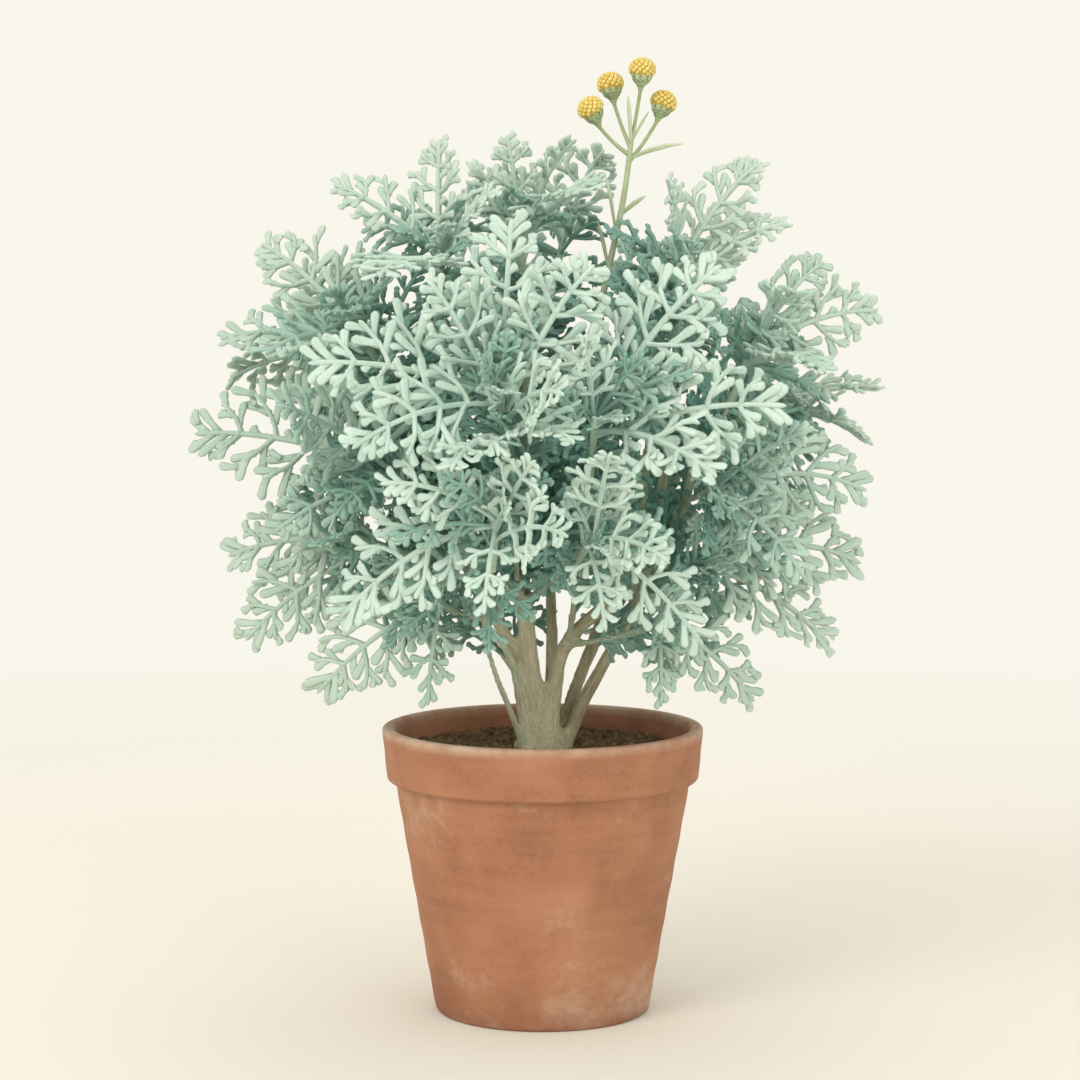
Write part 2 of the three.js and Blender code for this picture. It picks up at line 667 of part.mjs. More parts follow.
function place(name, solid, paint) {
  const { vertProperties, triVerts } = solid.getMesh();
  const geometry = new THREE.BufferGeometry();
  geometry.setAttribute('position', new THREE.BufferAttribute(vertProperties, 3));
  geometry.setIndex(new THREE.BufferAttribute(triVerts, 1));
  geometry.computeVertexNormals();
  const mesh = new THREE.Mesh(geometry, paint);
  mesh.name = name;
  plant.add(mesh);
}

place('pot', pot, paints.clay);
place('soil', soil, paints.earth);
place('woody_stems', joined(woodParts), paints.bark);
leafy.forEach((shoot) => place(`leafy_shoot_${shoot.name}`, joined(shoot.parts), paints.leaf));
place('flower_stalk', joined(stalkParts), paints.stalk);
heads.forEach((head, i) => place(`flower_head_${i + 1}`, headSolid(head), paints.flower));

export default plant;
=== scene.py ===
import json
import math
import random
import re

import bpy
import numpy as np
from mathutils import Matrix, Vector, noise
from mathutils.kdtree import KDTree

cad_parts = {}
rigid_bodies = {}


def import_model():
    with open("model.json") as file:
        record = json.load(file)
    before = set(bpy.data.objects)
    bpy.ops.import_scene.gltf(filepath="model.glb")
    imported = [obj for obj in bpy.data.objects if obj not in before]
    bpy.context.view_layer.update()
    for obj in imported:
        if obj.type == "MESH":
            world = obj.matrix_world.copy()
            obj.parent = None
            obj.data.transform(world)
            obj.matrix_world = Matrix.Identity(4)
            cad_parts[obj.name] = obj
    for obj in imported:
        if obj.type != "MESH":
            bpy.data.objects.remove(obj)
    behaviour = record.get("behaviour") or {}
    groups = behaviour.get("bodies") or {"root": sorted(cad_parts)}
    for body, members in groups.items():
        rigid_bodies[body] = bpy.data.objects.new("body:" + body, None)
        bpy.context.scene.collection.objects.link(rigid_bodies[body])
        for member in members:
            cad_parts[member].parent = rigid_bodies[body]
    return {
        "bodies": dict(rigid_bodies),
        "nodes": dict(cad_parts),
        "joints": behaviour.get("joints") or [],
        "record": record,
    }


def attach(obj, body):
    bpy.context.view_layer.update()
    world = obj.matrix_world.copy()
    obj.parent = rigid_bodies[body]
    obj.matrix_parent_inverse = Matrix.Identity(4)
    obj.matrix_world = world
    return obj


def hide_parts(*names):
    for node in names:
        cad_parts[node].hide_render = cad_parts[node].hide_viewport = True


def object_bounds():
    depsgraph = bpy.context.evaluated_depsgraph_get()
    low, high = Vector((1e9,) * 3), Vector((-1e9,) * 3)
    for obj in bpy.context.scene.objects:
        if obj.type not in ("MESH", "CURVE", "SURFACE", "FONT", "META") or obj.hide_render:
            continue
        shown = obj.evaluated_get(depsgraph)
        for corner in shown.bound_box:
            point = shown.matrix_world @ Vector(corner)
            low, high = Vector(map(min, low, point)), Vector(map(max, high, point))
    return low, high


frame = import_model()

cadBox = [list(corner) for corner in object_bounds()]
mm = 0.001

# The growth below is worked out in millimetres, z up from the foot of the pot, and only the meshes are in
# metres. It follows the rule of the solids, so that each fine frond lies where its solid lies.
soilLevel = 148.0
stemGap = 0.3

bush = {"x": -2, "h": 172, "across": 192, "depth": 178, "height": 160}

bushCentre = np.array([bush["x"], 0, soilLevel + bush["h"]])
bushReach = np.array([bush["across"], bush["depth"], bush["height"]])

bladeRule = {
    "ripplePitch": 0.36,
    "edgeDroop": 0.003,
    "bow": 0.06,
    "facingOutward": (0.6, 0.9, 0.5),
    "facingSide": 0.5,
    "facingUp": 0.45,
    "facingAt": 0.6,            # of the way along a frond
    "backHalfFrom": 20,
}

pinnaRule = {
    "lean": math.radians(50),
    "leftLater": 0.035,
    "leftShorter": 0.94,
    "forkFrom": 0.44,
    "forkLength": 0.42,
    "forkLean": math.radians(32),
}

# Frond kinds by length: where pinnae start, how far they reach, how many are forked
frondKinds = [
    {"longerThan": 90, "starts": (0.22, 0.39, 0.57, 0.75), "reach": (0.3, 0.32, 0.27, 0.18), "forks": 2},
    {"longerThan": 60, "starts": (0.26, 0.47, 0.69), "reach": (0.31, 0.3, 0.21), "forks": 1},
    {"longerThan": 0, "starts": (0.3, 0.6), "reach": (0.31, 0.25), "forks": 0},
]

# How fronds differ, as least value and spread, drawn in this order
frondTraits = {
    "arch": (0.1, 0.12), "roll": (-0.25, 0.5), "twist": (-0.25, 0.5),
    "cup": (0.12, 0.12), "ripple": (0.1, 0.1), "phase": (0, 6.28),
}

# Ways in which a frond is bent clear of others: sideways, roll, rise and size
frondBends = [
    (0, 0, 0, 1), (0.1, 0, 0, 1), (-0.1, 0, 0, 1), (0, 0.4, 0, 1), (0, -0.4, 0, 1), (0, 0, 0.1, 1),
    (0, 0, -0.1, 1), (0.18, 0.3, 0, 0.95), (-0.18, -0.3, 0, 0.95), (0.14, 0, 0.12, 0.9),
    (-0.14, 0, 0.12, 0.9), (0.26, 0, -0.08, 0.9), (-0.26, 0, -0.08, 0.9), (0, 0, 0.2, 0.82),
    (0.3, 0.5, 0.1, 0.8), (-0.3, -0.5, 0.1, 0.8),
]

clearance = {
    "sampleStep": 4,
    "bladeReach": 2.5,
    "stem": 0.8,
    "lowestLeaf": 20,
    "freeBase": 22,
    "firstSample": 8,
    "firstFrond": 1.2,
    "frondSpacing": 3.6,
}

# Main stems: radius at the crown and at the end, then x, y and height over the soil
mainStems = {
    "trunk": ((7.5, 3.2), ((-3, -2, -12), (-3, -3, 14), (-8, -8, 56), (-11, -2, 100), (-9, 12, 165),
        (-9, 15, 225))),
    "left": ((4.6, 3.2), ((-6, -6, 38), (-22, -6, 66), (-40, -8, 102), (-56, -12, 146), (-60, -14, 222))),
    "lowLeft": ((3.8, 2.6), ((-8, -4, -6), (-12, -8, 24), (-18, -15, 52), (-33, -27, 75))),
    "slender": ((3, 2.3), ((-10, -7, -6), (-15, -13, 14), (-26, -34, 46), (-32, -52, 70))),
    "right": ((5.5, 3.2), ((5, -4, -6), (6, -4, 26), (14, -7, 60), (50, -18, 95), (74, -24, 130),
        (86, -22, 170))),
    "farRight": ((4.6, 3.2), ((10, 2, -6), (24, 5, 27), (42, 8, 60), (56, 10, 90), (66, 8, 140),
        (72, 2, 200))),
    "backLeft": ((4.6, 3.2), ((-5, 8, -6), (-14, 24, 38), (-30, 45, 82), (-44, 58, 130), (-48, 58, 165))),
    "back": ((4.6, 3.2), ((1, 9, -6), (5, 28, 40), (4, 52, 90), (-6, 60, 186))),
    "backRight": ((4.6, 3.2), ((7, 7, -6), (20, 20, 34), (40, 40, 82), (56, 50, 128), (60, 48, 165))),
}

# Leafy shoots: root on the wood (x, y, height), then end and frond tips (x, height, and depth from -1, in
# front, to 1, behind)
shoots = {
    "front_upper": ((-11, -8, 78), (-22, 200, -0.68), ((-120, 218, -0.98), (-96, 176, -1.02),
        (-65, 256, -1), (-16, 292, -1), (26, 268, -1), (10, 204, -1.02), (8, 170, -0.96), (-46, 166, -1))),
    "front_lower": ((-32, -52, 70), (-24, 138, -0.72), ((-82, 158, -0.95), (-106, 84, -0.94),
        (-30, 92, -1.02), (-4, 170, -0.88), (12, 140, -1))),
    "front_centre": ((-9, -6, 84), (27, 128, -0.68), ((34, 174, -0.94), (64, 142, -0.98), (84, 70, -0.94),
        (32, 82, -1))),
    "front_high": ((14, -7, 60), (27, 189, -0.6), ((92, 268, -0.98), (20, 228, -0.9), (82, 156, -1),
        (124, 216, -1))),
    "left_middle": ((-46, -9, 118), (-78, 156, -0.28), ((-191, 176, -0.5), (-166, 138, -0.5),
        (-138, 196, -0.9), (-128, 200, 0.2))),
    "left_upper": ((-60, -12, 186), (-98, 230, -0.3), ((-154, 280, -0.3), (-176, 228, -0.5),
        (-144, 222, -1), (-128, 262, 0.5))),
    "top_left": ((-60, -14, 218), (-56, 274, -0.2), ((-114, 312, -0.5), (-62, 336, -0.5), (-30, 326, -0.85),
        (-84, 262, -0.95))),
    "top": ((-9, 15, 218), (-12, 288, 0), ((-20, 340, 0), (16, 336, -0.5), (26, 306, -0.8),
        (-40, 326, 0.6))),
    "top_right": ((72, 2, 190), (74, 268, -0.15), ((120, 324, -0.4), (82, 326, -0.7), (134, 290, -0.7),
        (116, 298, 0.5))),
    "right_upper": ((86, -22, 164), (114, 226, -0.25), ((154, 270, -0.4), (184, 244, -0.4),
        (134, 254, -0.95), (148, 212, -0.95))),
    "right_middle": ((68, 8, 156), (118, 190, 0.15), ((188, 200, 0.2), (178, 172, -0.5), (152, 220, 0.85),
        (160, 160, 0.8))),
    "right_front": ((78, -24, 140), (92, 150, -0.45), ((136, 182, -0.95), (176, 146, -0.6),
        (138, 104, -0.95))),
    "right_lower": ((54, -18, 98), (84, 108, -0.3), ((176, 104, -0.3), (158, 60, -0.6), (146, 130, 0.4))),
    "low_right": ((14, -7, 58), (66, 76, -0.4), ((116, 30, -0.9), (64, 30, -0.95))),
    "low_left": ((-33, -27, 75), (-58, 88, -0.4), ((-124, 34, -0.8), (-62, 32, -0.95))),
    "left_lower": ((-40, -8, 102), (-94, 118, -0.2), ((-176, 106, 0.3), (-164, 62, -0.5), (-146, 78, 0.8))),
    "top_back": ((-9, 15, 218), (12, 284, 0.4), ((-26, 324, 0.9), (34, 332, 0.4), (10, 300, 0.98))),
    "back_left_upper": ((-48, 58, 160), (-92, 218, 0.42), ((-140, 268, 0.7), (-176, 206, 0.4),
        (-104, 256, 0.98), (-136, 172, 0.95))),
    "back_upper": ((-6, 60, 182), (-24, 236, 0.66), ((-64, 290, 0.92), (-8, 296, 1), (24, 246, 1))),
    "back_right_upper": ((60, 48, 160), (62, 228, 0.58), ((112, 282, 0.9), (46, 284, 0.98),
        (138, 226, 0.98))),
    "back_left_middle": ((-36, 50, 100), (-64, 150, 0.62), ((-130, 124, 0.95), (-110, 186, 1),
        (-40, 190, 1))),
    "back_middle": ((2, 54, 110), (6, 160, 0.7), ((-34, 148, 1), (48, 164, 1), (2, 214, 1), (10, 102, 1))),
    "back_right_middle": ((48, 45, 104), (84, 158, 0.5), ((150, 176, 0.95), (104, 196, 1),
        (138, 122, 0.95))),
    "back_low_left": ((-14, 24, 38), (-48, 84, 0.55), ((-112, 66, 0.9), (-64, 36, 0.95), (-14, 70, 1))),
    "back_low_right": ((20, 20, 34), (46, 84, 0.55), ((110, 72, 0.9), (76, 34, 0.95), (28, 48, 1))),
}

branching = {"radius": 2.6, "greenLength": 38, "greenRadii": (2.3, 2.1), "kneeOut": 0.6, "kneeUp": 0.4}

stalk = {
    "root": (-9, 12, 165),
    "path": ((30, -8, 240), (36, -12, 266), (44, -16, 304), (48, -18, 334)),
    "greenLength": 30,
    "radii": (2.2, 1.5),
    "heads": ((26, -24, 353), (37, -10, 367), (54, -22, 374), (66, -12, 357)),
    "forkHeights": (328, 332, 332, 324),
    "headUprightness": 0.5,
    "forkRadius": 1.1,
    "cupBelowHead": (-12, -8.6, -6.2, -4.5),
    "cupRadii": (1, 2.4, 4.6, 5.4),
    "bracts": (((47, -17.6, 326), (76, -24, 334)), ((40, -14, 286), (34, -19, 318)),
               ((36, -12, 266), (30, -18, 292)), ((42, -15, 295), (56, -21, 306)),
               ((48, -18, 334), (46, -27, 360)), ((48, -18, 334), (58, -12, 352))),
    "bractTraits": {"arch": 0.06, "roll": 0, "twist": 0.2, "cup": 0.1, "ripple": 0, "phase": 0},
}

growthSeed = 2207


def evenDraws(seed):
    while True:
        seed = (seed * 1664525 + 1013904223) % 4294967296
        yield seed / 4294967296


def unit(v):
    return v / np.linalg.norm(v, axis=-1, keepdims=True)


def overSoil(spot):
    return np.array([spot[0], spot[1], soilLevel + spot[2]], float)


def inBush(x, h, depth):
    inside = 1 - ((x - bush["x"]) / bush["across"]) ** 2 - ((h - bush["h"]) / bush["height"]) ** 2
    return np.array([x, depth * bush["depth"] * math.sqrt(max(inside, 0.04)), soilLevel + h], float)


def bezier(a, b, c, u):
    u = np.atleast_1d(np.asarray(u, float))[:, None]
    return a * (1 - u) ** 2 + b * 2 * u * (1 - u) + c * u ** 2


# Where spots of a frond lie, s along the rib and t to the left of it
def onFrond(frond, s, t):
    s, t = np.broadcast_arrays(np.atleast_1d(np.asarray(s, float)), np.asarray(t, float))
    u = np.minimum(s / frond["length"], 1)
    base, knee, tip = frond["base"], frond["knee"], frond["tip"]
    ahead = unit((knee - base) * (1 - u)[:, None] + (tip - knee) * u[:, None])
    face = unit(frond["face"] - ahead * (ahead @ frond["face"])[:, None])
    side = np.cross(face, ahead)
    turn = (frond["roll"] + frond["twist"] * u)[:, None]
    normal = face * np.cos(turn) + side * np.sin(turn)
    left = np.cross(normal, ahead)
    wave = frond["cup"] + frond["ripple"] * np.sin(bladeRule["ripplePitch"] * s + frond["phase"])
    rise = wave * np.abs(t) - bladeRule["edgeDroop"] * t ** 2
    beyond = np.maximum(s - frond["length"], 0)
    spots = bezier(base, knee, tip, u) + left * t[:, None] + normal * rise[:, None] + ahead * beyond[:, None]
    return spots, normal


def pinnaeOf(frond):
    kind = next(one for one in frondKinds if frond["length"] > one["longerThan"])
    pinnae = []
    for i, (start, reach) in enumerate(zip(kind["starts"], kind["reach"])):
        later = start + pinnaRule["leftLater"] * (1 - start)
        for side, at, share, forkFrom in ((-1, start, 1, -1), (1, later, pinnaRule["leftShorter"], 0)):
            pinnae.append({"start": at * frond["length"], "length": share * reach * frond["length"],
                           "side": side, "forked": forkFrom < i < kind["forks"]})
    return pinnae


# A spot of a pinna in the frond's s and t: along the pinna, and towards the frond's tip
def onPinna(pinna, along, towardTip):
    lean = pinnaRule["lean"]
    return (pinna["start"] + along * math.cos(lean) + towardTip * math.sin(lean),
            pinna["side"] * (along * math.sin(lean) - towardTip * math.cos(lean)))


def pinnaSamples(pinna):
    step, length = clearance["sampleStep"], pinna["length"]
    samples = [onPinna(pinna, along, 0) for along in np.arange(length, step, -step)]
    if pinna["forked"]:
        for along in np.arange(pinnaRule["forkLength"] * length, 0, -step):
            forward = pinnaRule["forkFrom"] * length + along * math.cos(pinnaRule["forkLean"])
            samples.append(onPinna(pinna, forward, along * math.sin(pinnaRule["forkLean"])))
    return samples


# Spots that are already taken, as x, y, z and radius, with whose they are
filledSpots = []
filledOwners = []


def fillAlong(points, radii, owner):
    for a, b, radiusA, radiusB in zip(points, points[1:], radii, radii[1:]):
        count = math.ceil(np.linalg.norm(b - a) / clearance["sampleStep"])
        for k in range(count + 1):
            radius = radiusA + (radiusB - radiusA) * k / count
            filledSpots.append((*(a + (b - a) * (k / count)), radius + clearance["stem"]))
            filledOwners.append(owner)


def meetsOthers(spots, base, taken, own):
    low = spots[:, 2] < soilLevel + clearance["lowestLeaf"]
    apart = (spots ** 2).sum(1)[:, None] + (taken[:, :3] ** 2).sum(1) - 2 * spots @ taken[:, :3].T
    touching = apart < (clearance["bladeReach"] + taken[:, 3]) ** 2
    atBase = np.linalg.norm(spots - base, axis=1) < clearance["freeBase"]
    return low | (touching & ~(atBase[:, None] & own)).any(1)


def facingOf(middle):
    outward = (middle - bushCentre) * np.array(bladeRule["facingOutward"])
    side = bladeRule["facingSide"] if middle[1] > bladeRule["backHalfFrom"] else -bladeRule["facingSide"]
    return unit(unit(outward) + np.array([0, side, bladeRule["facingUp"]]))


def makeFrond(base, aim, bend, traits):
    sideways, roll, rise, size = bend
    reach = aim - base
    distance = np.linalg.norm(reach)
    face = facingOf(base + reach * bladeRule["facingAt"])
    beside = unit(np.cross(face, reach))
    tip = base + reach * size + beside * sideways * distance + np.array([0, 0, rise * distance])
    knee = (base + tip) / 2 + np.array([0, 0, traits["arch"] * distance]) + face * bladeRule["bow"] * distance
    length = (np.linalg.norm(tip - base) + np.linalg.norm(knee - base) + np.linalg.norm(tip - knee)) / 2
    return {**traits, "base": base, "tip": tip, "knee": knee, "face": face, "length": length,
            "roll": traits["roll"] + roll}


def growFrond(base, aim, owner, draws):
    traits = {name: least + spread * next(draws) for name, (least, spread) in frondTraits.items()}
    taken = np.array(filledSpots)
    own = np.array([name.startswith(owner) for name in filledOwners])
    best = None
    for bend in frondBends:
        frond = makeFrond(base, aim, bend, traits)
        pinnae = pinnaeOf(frond)
        ribPlaces = np.arange(clearance["firstSample"], frond["length"], clearance["sampleStep"])
        parts = [[(s, 0) for s in (*ribPlaces, frond["length"])], *map(pinnaSamples, pinnae)]
        ends = np.cumsum([len(part) for part in parts])[:-1]
        spots = onFrond(frond, *np.array([place for part in parts for place in part], float).T)[0]
        onRib, *onPinnae = np.split(meetsOthers(spots, base, taken, own), ends)
        free = [not hits.any() for hits in onPinnae]
        fault = int(onRib.sum()) * 100 + free.count(False)
        if best is None or fault < best["fault"]:
            kept = [part for part, isFree in zip(np.split(spots, ends), [True, *free]) if isFree]
            best = {**frond, "fault": fault, "blocked": onRib.any(), "spots": np.concatenate(kept),
                    "pinnae": [pinna for pinna, isFree in zip(pinnae, free) if isFree]}
        if fault == 0:
            break
    if best["blocked"]:
        return None
    filledSpots.extend((*spot, clearance["bladeReach"]) for spot in best["spots"])
    filledOwners.extend([owner] * len(best["spots"]))
    return best


def branchTo(start, end, greenLength, owner):
    knee = start + (end - start) * np.array([branching["kneeOut"], branching["kneeOut"], branching["kneeUp"]])
    length = np.linalg.norm(end - start)
    split = 1 - min(greenLength / length, 0.5)
    clear = split + stemGap / length
    green = branching["greenRadii"]
    woodRadii = np.linspace(branching["radius"], green[0], 3)
    fillAlong(bezier(start, knee, end, np.linspace(0, 1, 3) * split), woodRadii, "wood")
    points = bezier(start, knee, end, clear + np.linspace(0, 1, 3) * (1 - clear))
    fillAlong(points, np.linspace(*green, 3), owner)
    return {"start": start, "knee": knee, "end": end, "split": split, "points": points}


for radii, path in mainStems.values():
    fillAlong([overSoil(spot) for spot in path], np.linspace(*radii, len(path)), "wood")
branches = {name: branchTo(overSoil(root), inBush(*at), branching["greenLength"], name)
            for name, (root, at, tips) in shoots.items()}
stalkBranch = branchTo(overSoil(stalk["root"]), overSoil(stalk["path"][0]), stalk["greenLength"], "flower")
stalkPoints = np.array([stalkBranch["points"][0], *map(overSoil, stalk["path"])])
fillAlong(stalkPoints, np.linspace(*stalk["radii"], len(stalkPoints)), "flower")

fronds = {name: [] for name in shoots}
growthDraws = evenDraws(growthSeed)
for turn in range(max(len(tips) for root, at, tips in shoots.values())):
    for name, (root, at, tips) in shoots.items():
        if turn < len(tips):
            points = branches[name]["points"]
            back = clearance["firstFrond"] + turn * clearance["frondSpacing"]
            base = points[2] + unit(points[1] - points[2]) * back
            grown = growFrond(base, inBush(*tips[turn]), name, growthDraws)
            if grown:
                fronds[name].append(grown)
print("grown", sum(map(len, fronds.values())), "fronds")


# Node trees. A Wire is one output of a node: arithmetic on it adds Math nodes, and [...] takes another output
class Wire:
    def __init__(self, tree, socket):
        self.tree = tree
        self.socket = socket

    def __getitem__(self, output):
        return Wire(self.tree, self.socket.node.outputs[output])

    def math(self, operation, *others):
        return self.tree.add("Math", self, *others, operation=operation)

    def vector(self, operation, *others, **named):
        return self.tree.add("VectorMath", self, *others, operation=operation, **named)

    def __add__(self, other):
        return self.math("ADD", other)

    def __sub__(self, other):
        return self.math("SUBTRACT", other)

    def __rsub__(self, other):
        return self.tree.add("Math", other, self, operation="SUBTRACT")

    def __mul__(self, other):
        return self.math("MULTIPLY", other)

    def __truediv__(self, other):
        return self.math("DIVIDE", other)

    def __pow__(self, other):
        return self.math("POWER", other)

    def mapped(self, low, high, least=0.0, most=1.0):
        return self.tree.add("MapRange", value=self, fromMin=low, fromMax=high, toMin=least, toMax=most)

    # a value from 0 to 1 as a swing about zero
    def swing(self, amount):
        return self.mapped(0.0, 1.0, -amount, amount)

    def noise(self, scale, detail=3.0, roughness=0.55, distortion=0.0):
        return self.tree.add("TexNoise", vector=self, scale=scale, detail=detail, roughness=roughness,
                             distortion=distortion)

    def ramp(self, stops):
        made = self.tree.add("ValToRGB", self)
        elements = made.socket.node.color_ramp.elements
        while len(elements) < len(stops):
            elements.new(0.5)
        for element, (place, code) in zip(elements, stops):
            element.position, element.color = place, colour(code)
        return made

    def mixed(self, a, b):
        between = (None,) * 5           # sockets of the node's other kinds
        return self.tree.add("Mix", self, *between, a, b, data_type="RGBA")[2]

    def bump(self, strength, distance):
        return self.tree.add("Bump", height=self, strength=strength, distance=distance)


class Tree:
    def __init__(self, plain):
        self.plain = plain

    def feed(self, socket, value):
        for part in value if isinstance(value, list) else [value]:
            if isinstance(part, Wire):
                self.plain.links.new(part.socket, socket)
            elif part is not None:
                socket.default_value = part

    # Plain values fill a node's inputs in order, named ones the input or else the setting of that name
    def add(self, kind, *values, **named):
        prefixes = (self.plain.bl_idname.removesuffix("Tree"), "ShaderNode", "FunctionNode", "Node")
        known = next(prefix + kind for prefix in prefixes if hasattr(bpy.types, prefix + kind))
        node = self.plain.nodes.new(known)
        for name, value in named.items():
            label = wordStart.sub(" ", name)
            label = label[0].upper() + label[1:]
            if label in node.inputs:
                self.feed(node.inputs[label], value)
            else:
                setattr(node, name, value)
        for socket, value in zip(node.inputs, values):
            self.feed(socket, value)
        return Wire(self, node.outputs[0]) if node.outputs else node

    def attribute(self, name, kind="FLOAT"):
        return self.add("InputNamedAttribute", data_type=kind, name=name)["Attribute"]

    def stored(self, geometry, name, value):
        return self.add("StoreNamedAttribute", geometry, name=name, value=value)

    def random(self, least, most, seed):
        return self.add("RandomValue", None, None, least, most, seed=seed)[1]

    def place(self):
        apart = self.add("SeparateXYZ", self.add("InputPosition"))
        return apart["X"], apart["Y"], apart["Z"]

    def objectPlace(self):
        return self.add("TexCoord")["Object"]

    def spotValue(self, name, output="Fac"):
        return self.add("Attribute", attribute_name=name)[output]


wordStart = re.compile("(?<=[a-z])(?=[A-Z])|(?<=[A-Z])(?=[A-Z][a-z])")
socketKinds = {int: "Int", float: "Float", tuple: "Vector"}


# Sockets come as name and first value, or name and kind
def newTree(kind, name, inputs, outputs):
    plain = bpy.data.node_groups.new(name, kind)
    for way, sockets in (("INPUT", inputs), ("OUTPUT", outputs)):
        for label, value in sockets.items():
            known = isinstance(value, str)
            socketKind = "NodeSocket" + (value if known else socketKinds[type(value)])
            made = plain.interface.new_socket(label, in_out=way, socket_type=socketKind)
            if not known:
                made.default_value = value
    tree = Tree(plain)
    return tree, tree.add("GroupInput")


def shapeTree(name, sockets):
    inputs = {"Geometry": "Geometry", **sockets, "Material": "Material"}
    return newTree("GeometryNodeTree", name, inputs, {"Geometry": "Geometry"})


# Every shape tree ends this way
def endTree(tree, given, geometry):
    real = tree.add("RealizeInstances", tree.add("SetShadeSmooth", geometry))
    tree.add("GroupOutput", tree.add("SetMaterial", real, material=given["Material"]))
    return tree.plain


# Runs a tree on a piece and leaves its plain mesh in place of the old one
def growMesh(piece, tree, values):
    modifier = piece.modifiers.new("grow", "NODES")
    modifier.node_group = tree
    for item in tree.interface.items_tree:
        if item.in_out == "INPUT" and item.name in values:
            modifier[item.identifier] = values[item.name]
    graph = bpy.context.evaluated_depsgraph_get()
    plain = bpy.data.meshes.new_from_object(piece.evaluated_get(graph), preserve_all_data_layers=True,
                                            depsgraph=graph)
    piece.modifiers.clear()
    before = piece.data
    piece.data = plain
    plain.name = piece.name
    bpy.data.meshes.remove(before)


def newPiece(name, spots, edges=(), faces=()):
    mesh = bpy.data.meshes.new(name)
    mesh.from_pydata([tuple(spot) for spot in spots], list(edges), list(faces))
    piece = bpy.data.objects.new(name, mesh)
    bpy.context.scene.collection.objects.link(piece)
    return piece


def addAttribute(piece, name, values):
    values = np.asarray(values, float)
    kind, key = ("FLOAT_VECTOR", "vector") if values.ndim == 2 else ("FLOAT", "value")
    layer = piece.data.attributes.new(name, kind, "POINT")
    layer.data.foreach_set(key, values.ravel())


def finish(piece, slot, *nodes):
    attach(piece, "root")
    if nodes:
        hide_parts(*nodes)
    count = sum(len(face.vertices) - 2 for face in piece.data.polygons)
    print(piece.name + ":", count, "triangles")


def colour(code):
    parts = [int(code[i:i + 2], 16) / 255 for i in (1, 3, 5)]
    return (*[part / 12.92 if part <= 0.04045 else ((part + 0.055) / 1.055) ** 2.4 for part in parts], 1)


# Foliage tree: sweeps every line of a sprig into a stem or rib, and sets a blunt lobe on every loose spot
lobeShape = {
    "widths": ((0, 0.86), (0.28, 0.7), (0.55, 0.82), (0.8, 1), (0.93, 0.86), (1, 0.4)),
    "crowding": 1.6,        # of the rings towards the tip
}


def makeFoliageTree():
    tree, given = shapeTree("foliage", {"Sides": 6, "Lobe Rings": 5, "Rib Flatness": 0.62})
    width = tree.attribute("halfWidth")
    face = tree.attribute("faceNormal", "FLOAT_VECTOR")
    x, y, z = tree.place()
    lines = tree.add("SetCurveNormal", tree.add("MeshToCurve", given), mode="FREE", normal=face)
    isRound = tree.attribute("roundness").math("GREATER_THAN", 0.5)
    parted = tree.add("SeparateGeometry", lines, isRound, domain="CURVE")
    ring = tree.add("CurvePrimitiveCircle", resolution=given["Sides"], radius=1.0)
    section = tree.stored(ring, "across", y)
    flatScale = tree.add("CombineXYZ", 1.0, given["Rib Flatness"], 1.0)
    flat = tree.add("Transform", section, scale=flatScale)
    stems = tree.add("CurveToMesh", parted["Selection"], section, scale=width, fillCaps=True)
    ribs = tree.add("CurveToMesh", parted["Inverted"], flat, scale=width, fillCaps=True)

    tube = tree.add("MeshCylinder", fill_type="NGON", vertices=given["Sides"],
                    sideSegments=given["Lobe Rings"], radius=1.0, depth=1.0)
    along = 1.0 - (1.0 - (z + 0.5)) ** lobeShape["crowding"]
    profile = tree.add("FloatCurve", value=along)
    mapping = profile.socket.node.mapping
    points = mapping.curves[0].points
    while len(points) < len(lobeShape["widths"]):
        points.new(0.5, 0.5)
    for point, spot in zip(points, lobeShape["widths"]):
        point.location = spot
    mapping.update()
    tube = tree.stored(tube, "across", x)
    tube = tree.add("SetPosition", tube, position=tree.add("CombineXYZ", x * profile, y * profile, along))
    tube = tree.stored(tube, "along", z)
    heading = tree.attribute("heading", "FLOAT_VECTOR")
    turned = tree.add("AxesToRotation", heading, face, primary_axis="Z", secondary_axis="Y")
    lobes = tree.add("InstanceOnPoints", points=given, instance=tube, rotation=turned,
                     selection=tree.attribute("lobe").math("GREATER_THAN", 0.5),
                     scale=tree.attribute("lobeSize", "FLOAT_VECTOR"))
    far = tree.attribute("along") ** 2.0
    lift = face.vector("SCALE", scale=far * tree.attribute("lift"))
    sway = heading.vector("CROSS_PRODUCT", face).vector("SCALE", scale=far * tree.attribute("sway"))
    bent = tree.add("SetPosition", tree.add("RealizeInstances", lobes), offset=lift.vector("ADD", sway))
    return endTree(tree, given, tree.add("JoinGeometry", [stems, ribs, bent]))


foliageTree = makeFoliageTree()

# Lines and lobes of a leafy piece, gathered in millimetres before they become one mesh
emptySpot = {
    "halfWidth": 0, "faceNormal": (0, 0, 1), "roundness": 0, "lobe": 0, "heading": (0, 0, 1),
    "lobeSize": (0, 0, 0), "lift": 0, "sway": 0, "tone": 0, "muted": 0, "stemness": 0,
}


def newSprig():
    return {"spots": [], "edges": [], **{name: [] for name in emptySpot}}


def addSpot(sprig, spot, **values):
    sprig["spots"].append(spot)
    for name, empty in emptySpot.items():
        sprig[name].append(values.get(name, empty))


def addLine(sprig, spots, halfWidths, normals, tones, **values):
    first = len(sprig["spots"])
    for spot, halfWidth, normal, tone in zip(spots, halfWidths, normals, tones):
        addSpot(sprig, spot, halfWidth=halfWidth * mm, faceNormal=normal, tone=tone, **values)
    sprig["edges"] += [(i, i + 1) for i in range(first, len(sprig["spots"]) - 1)]


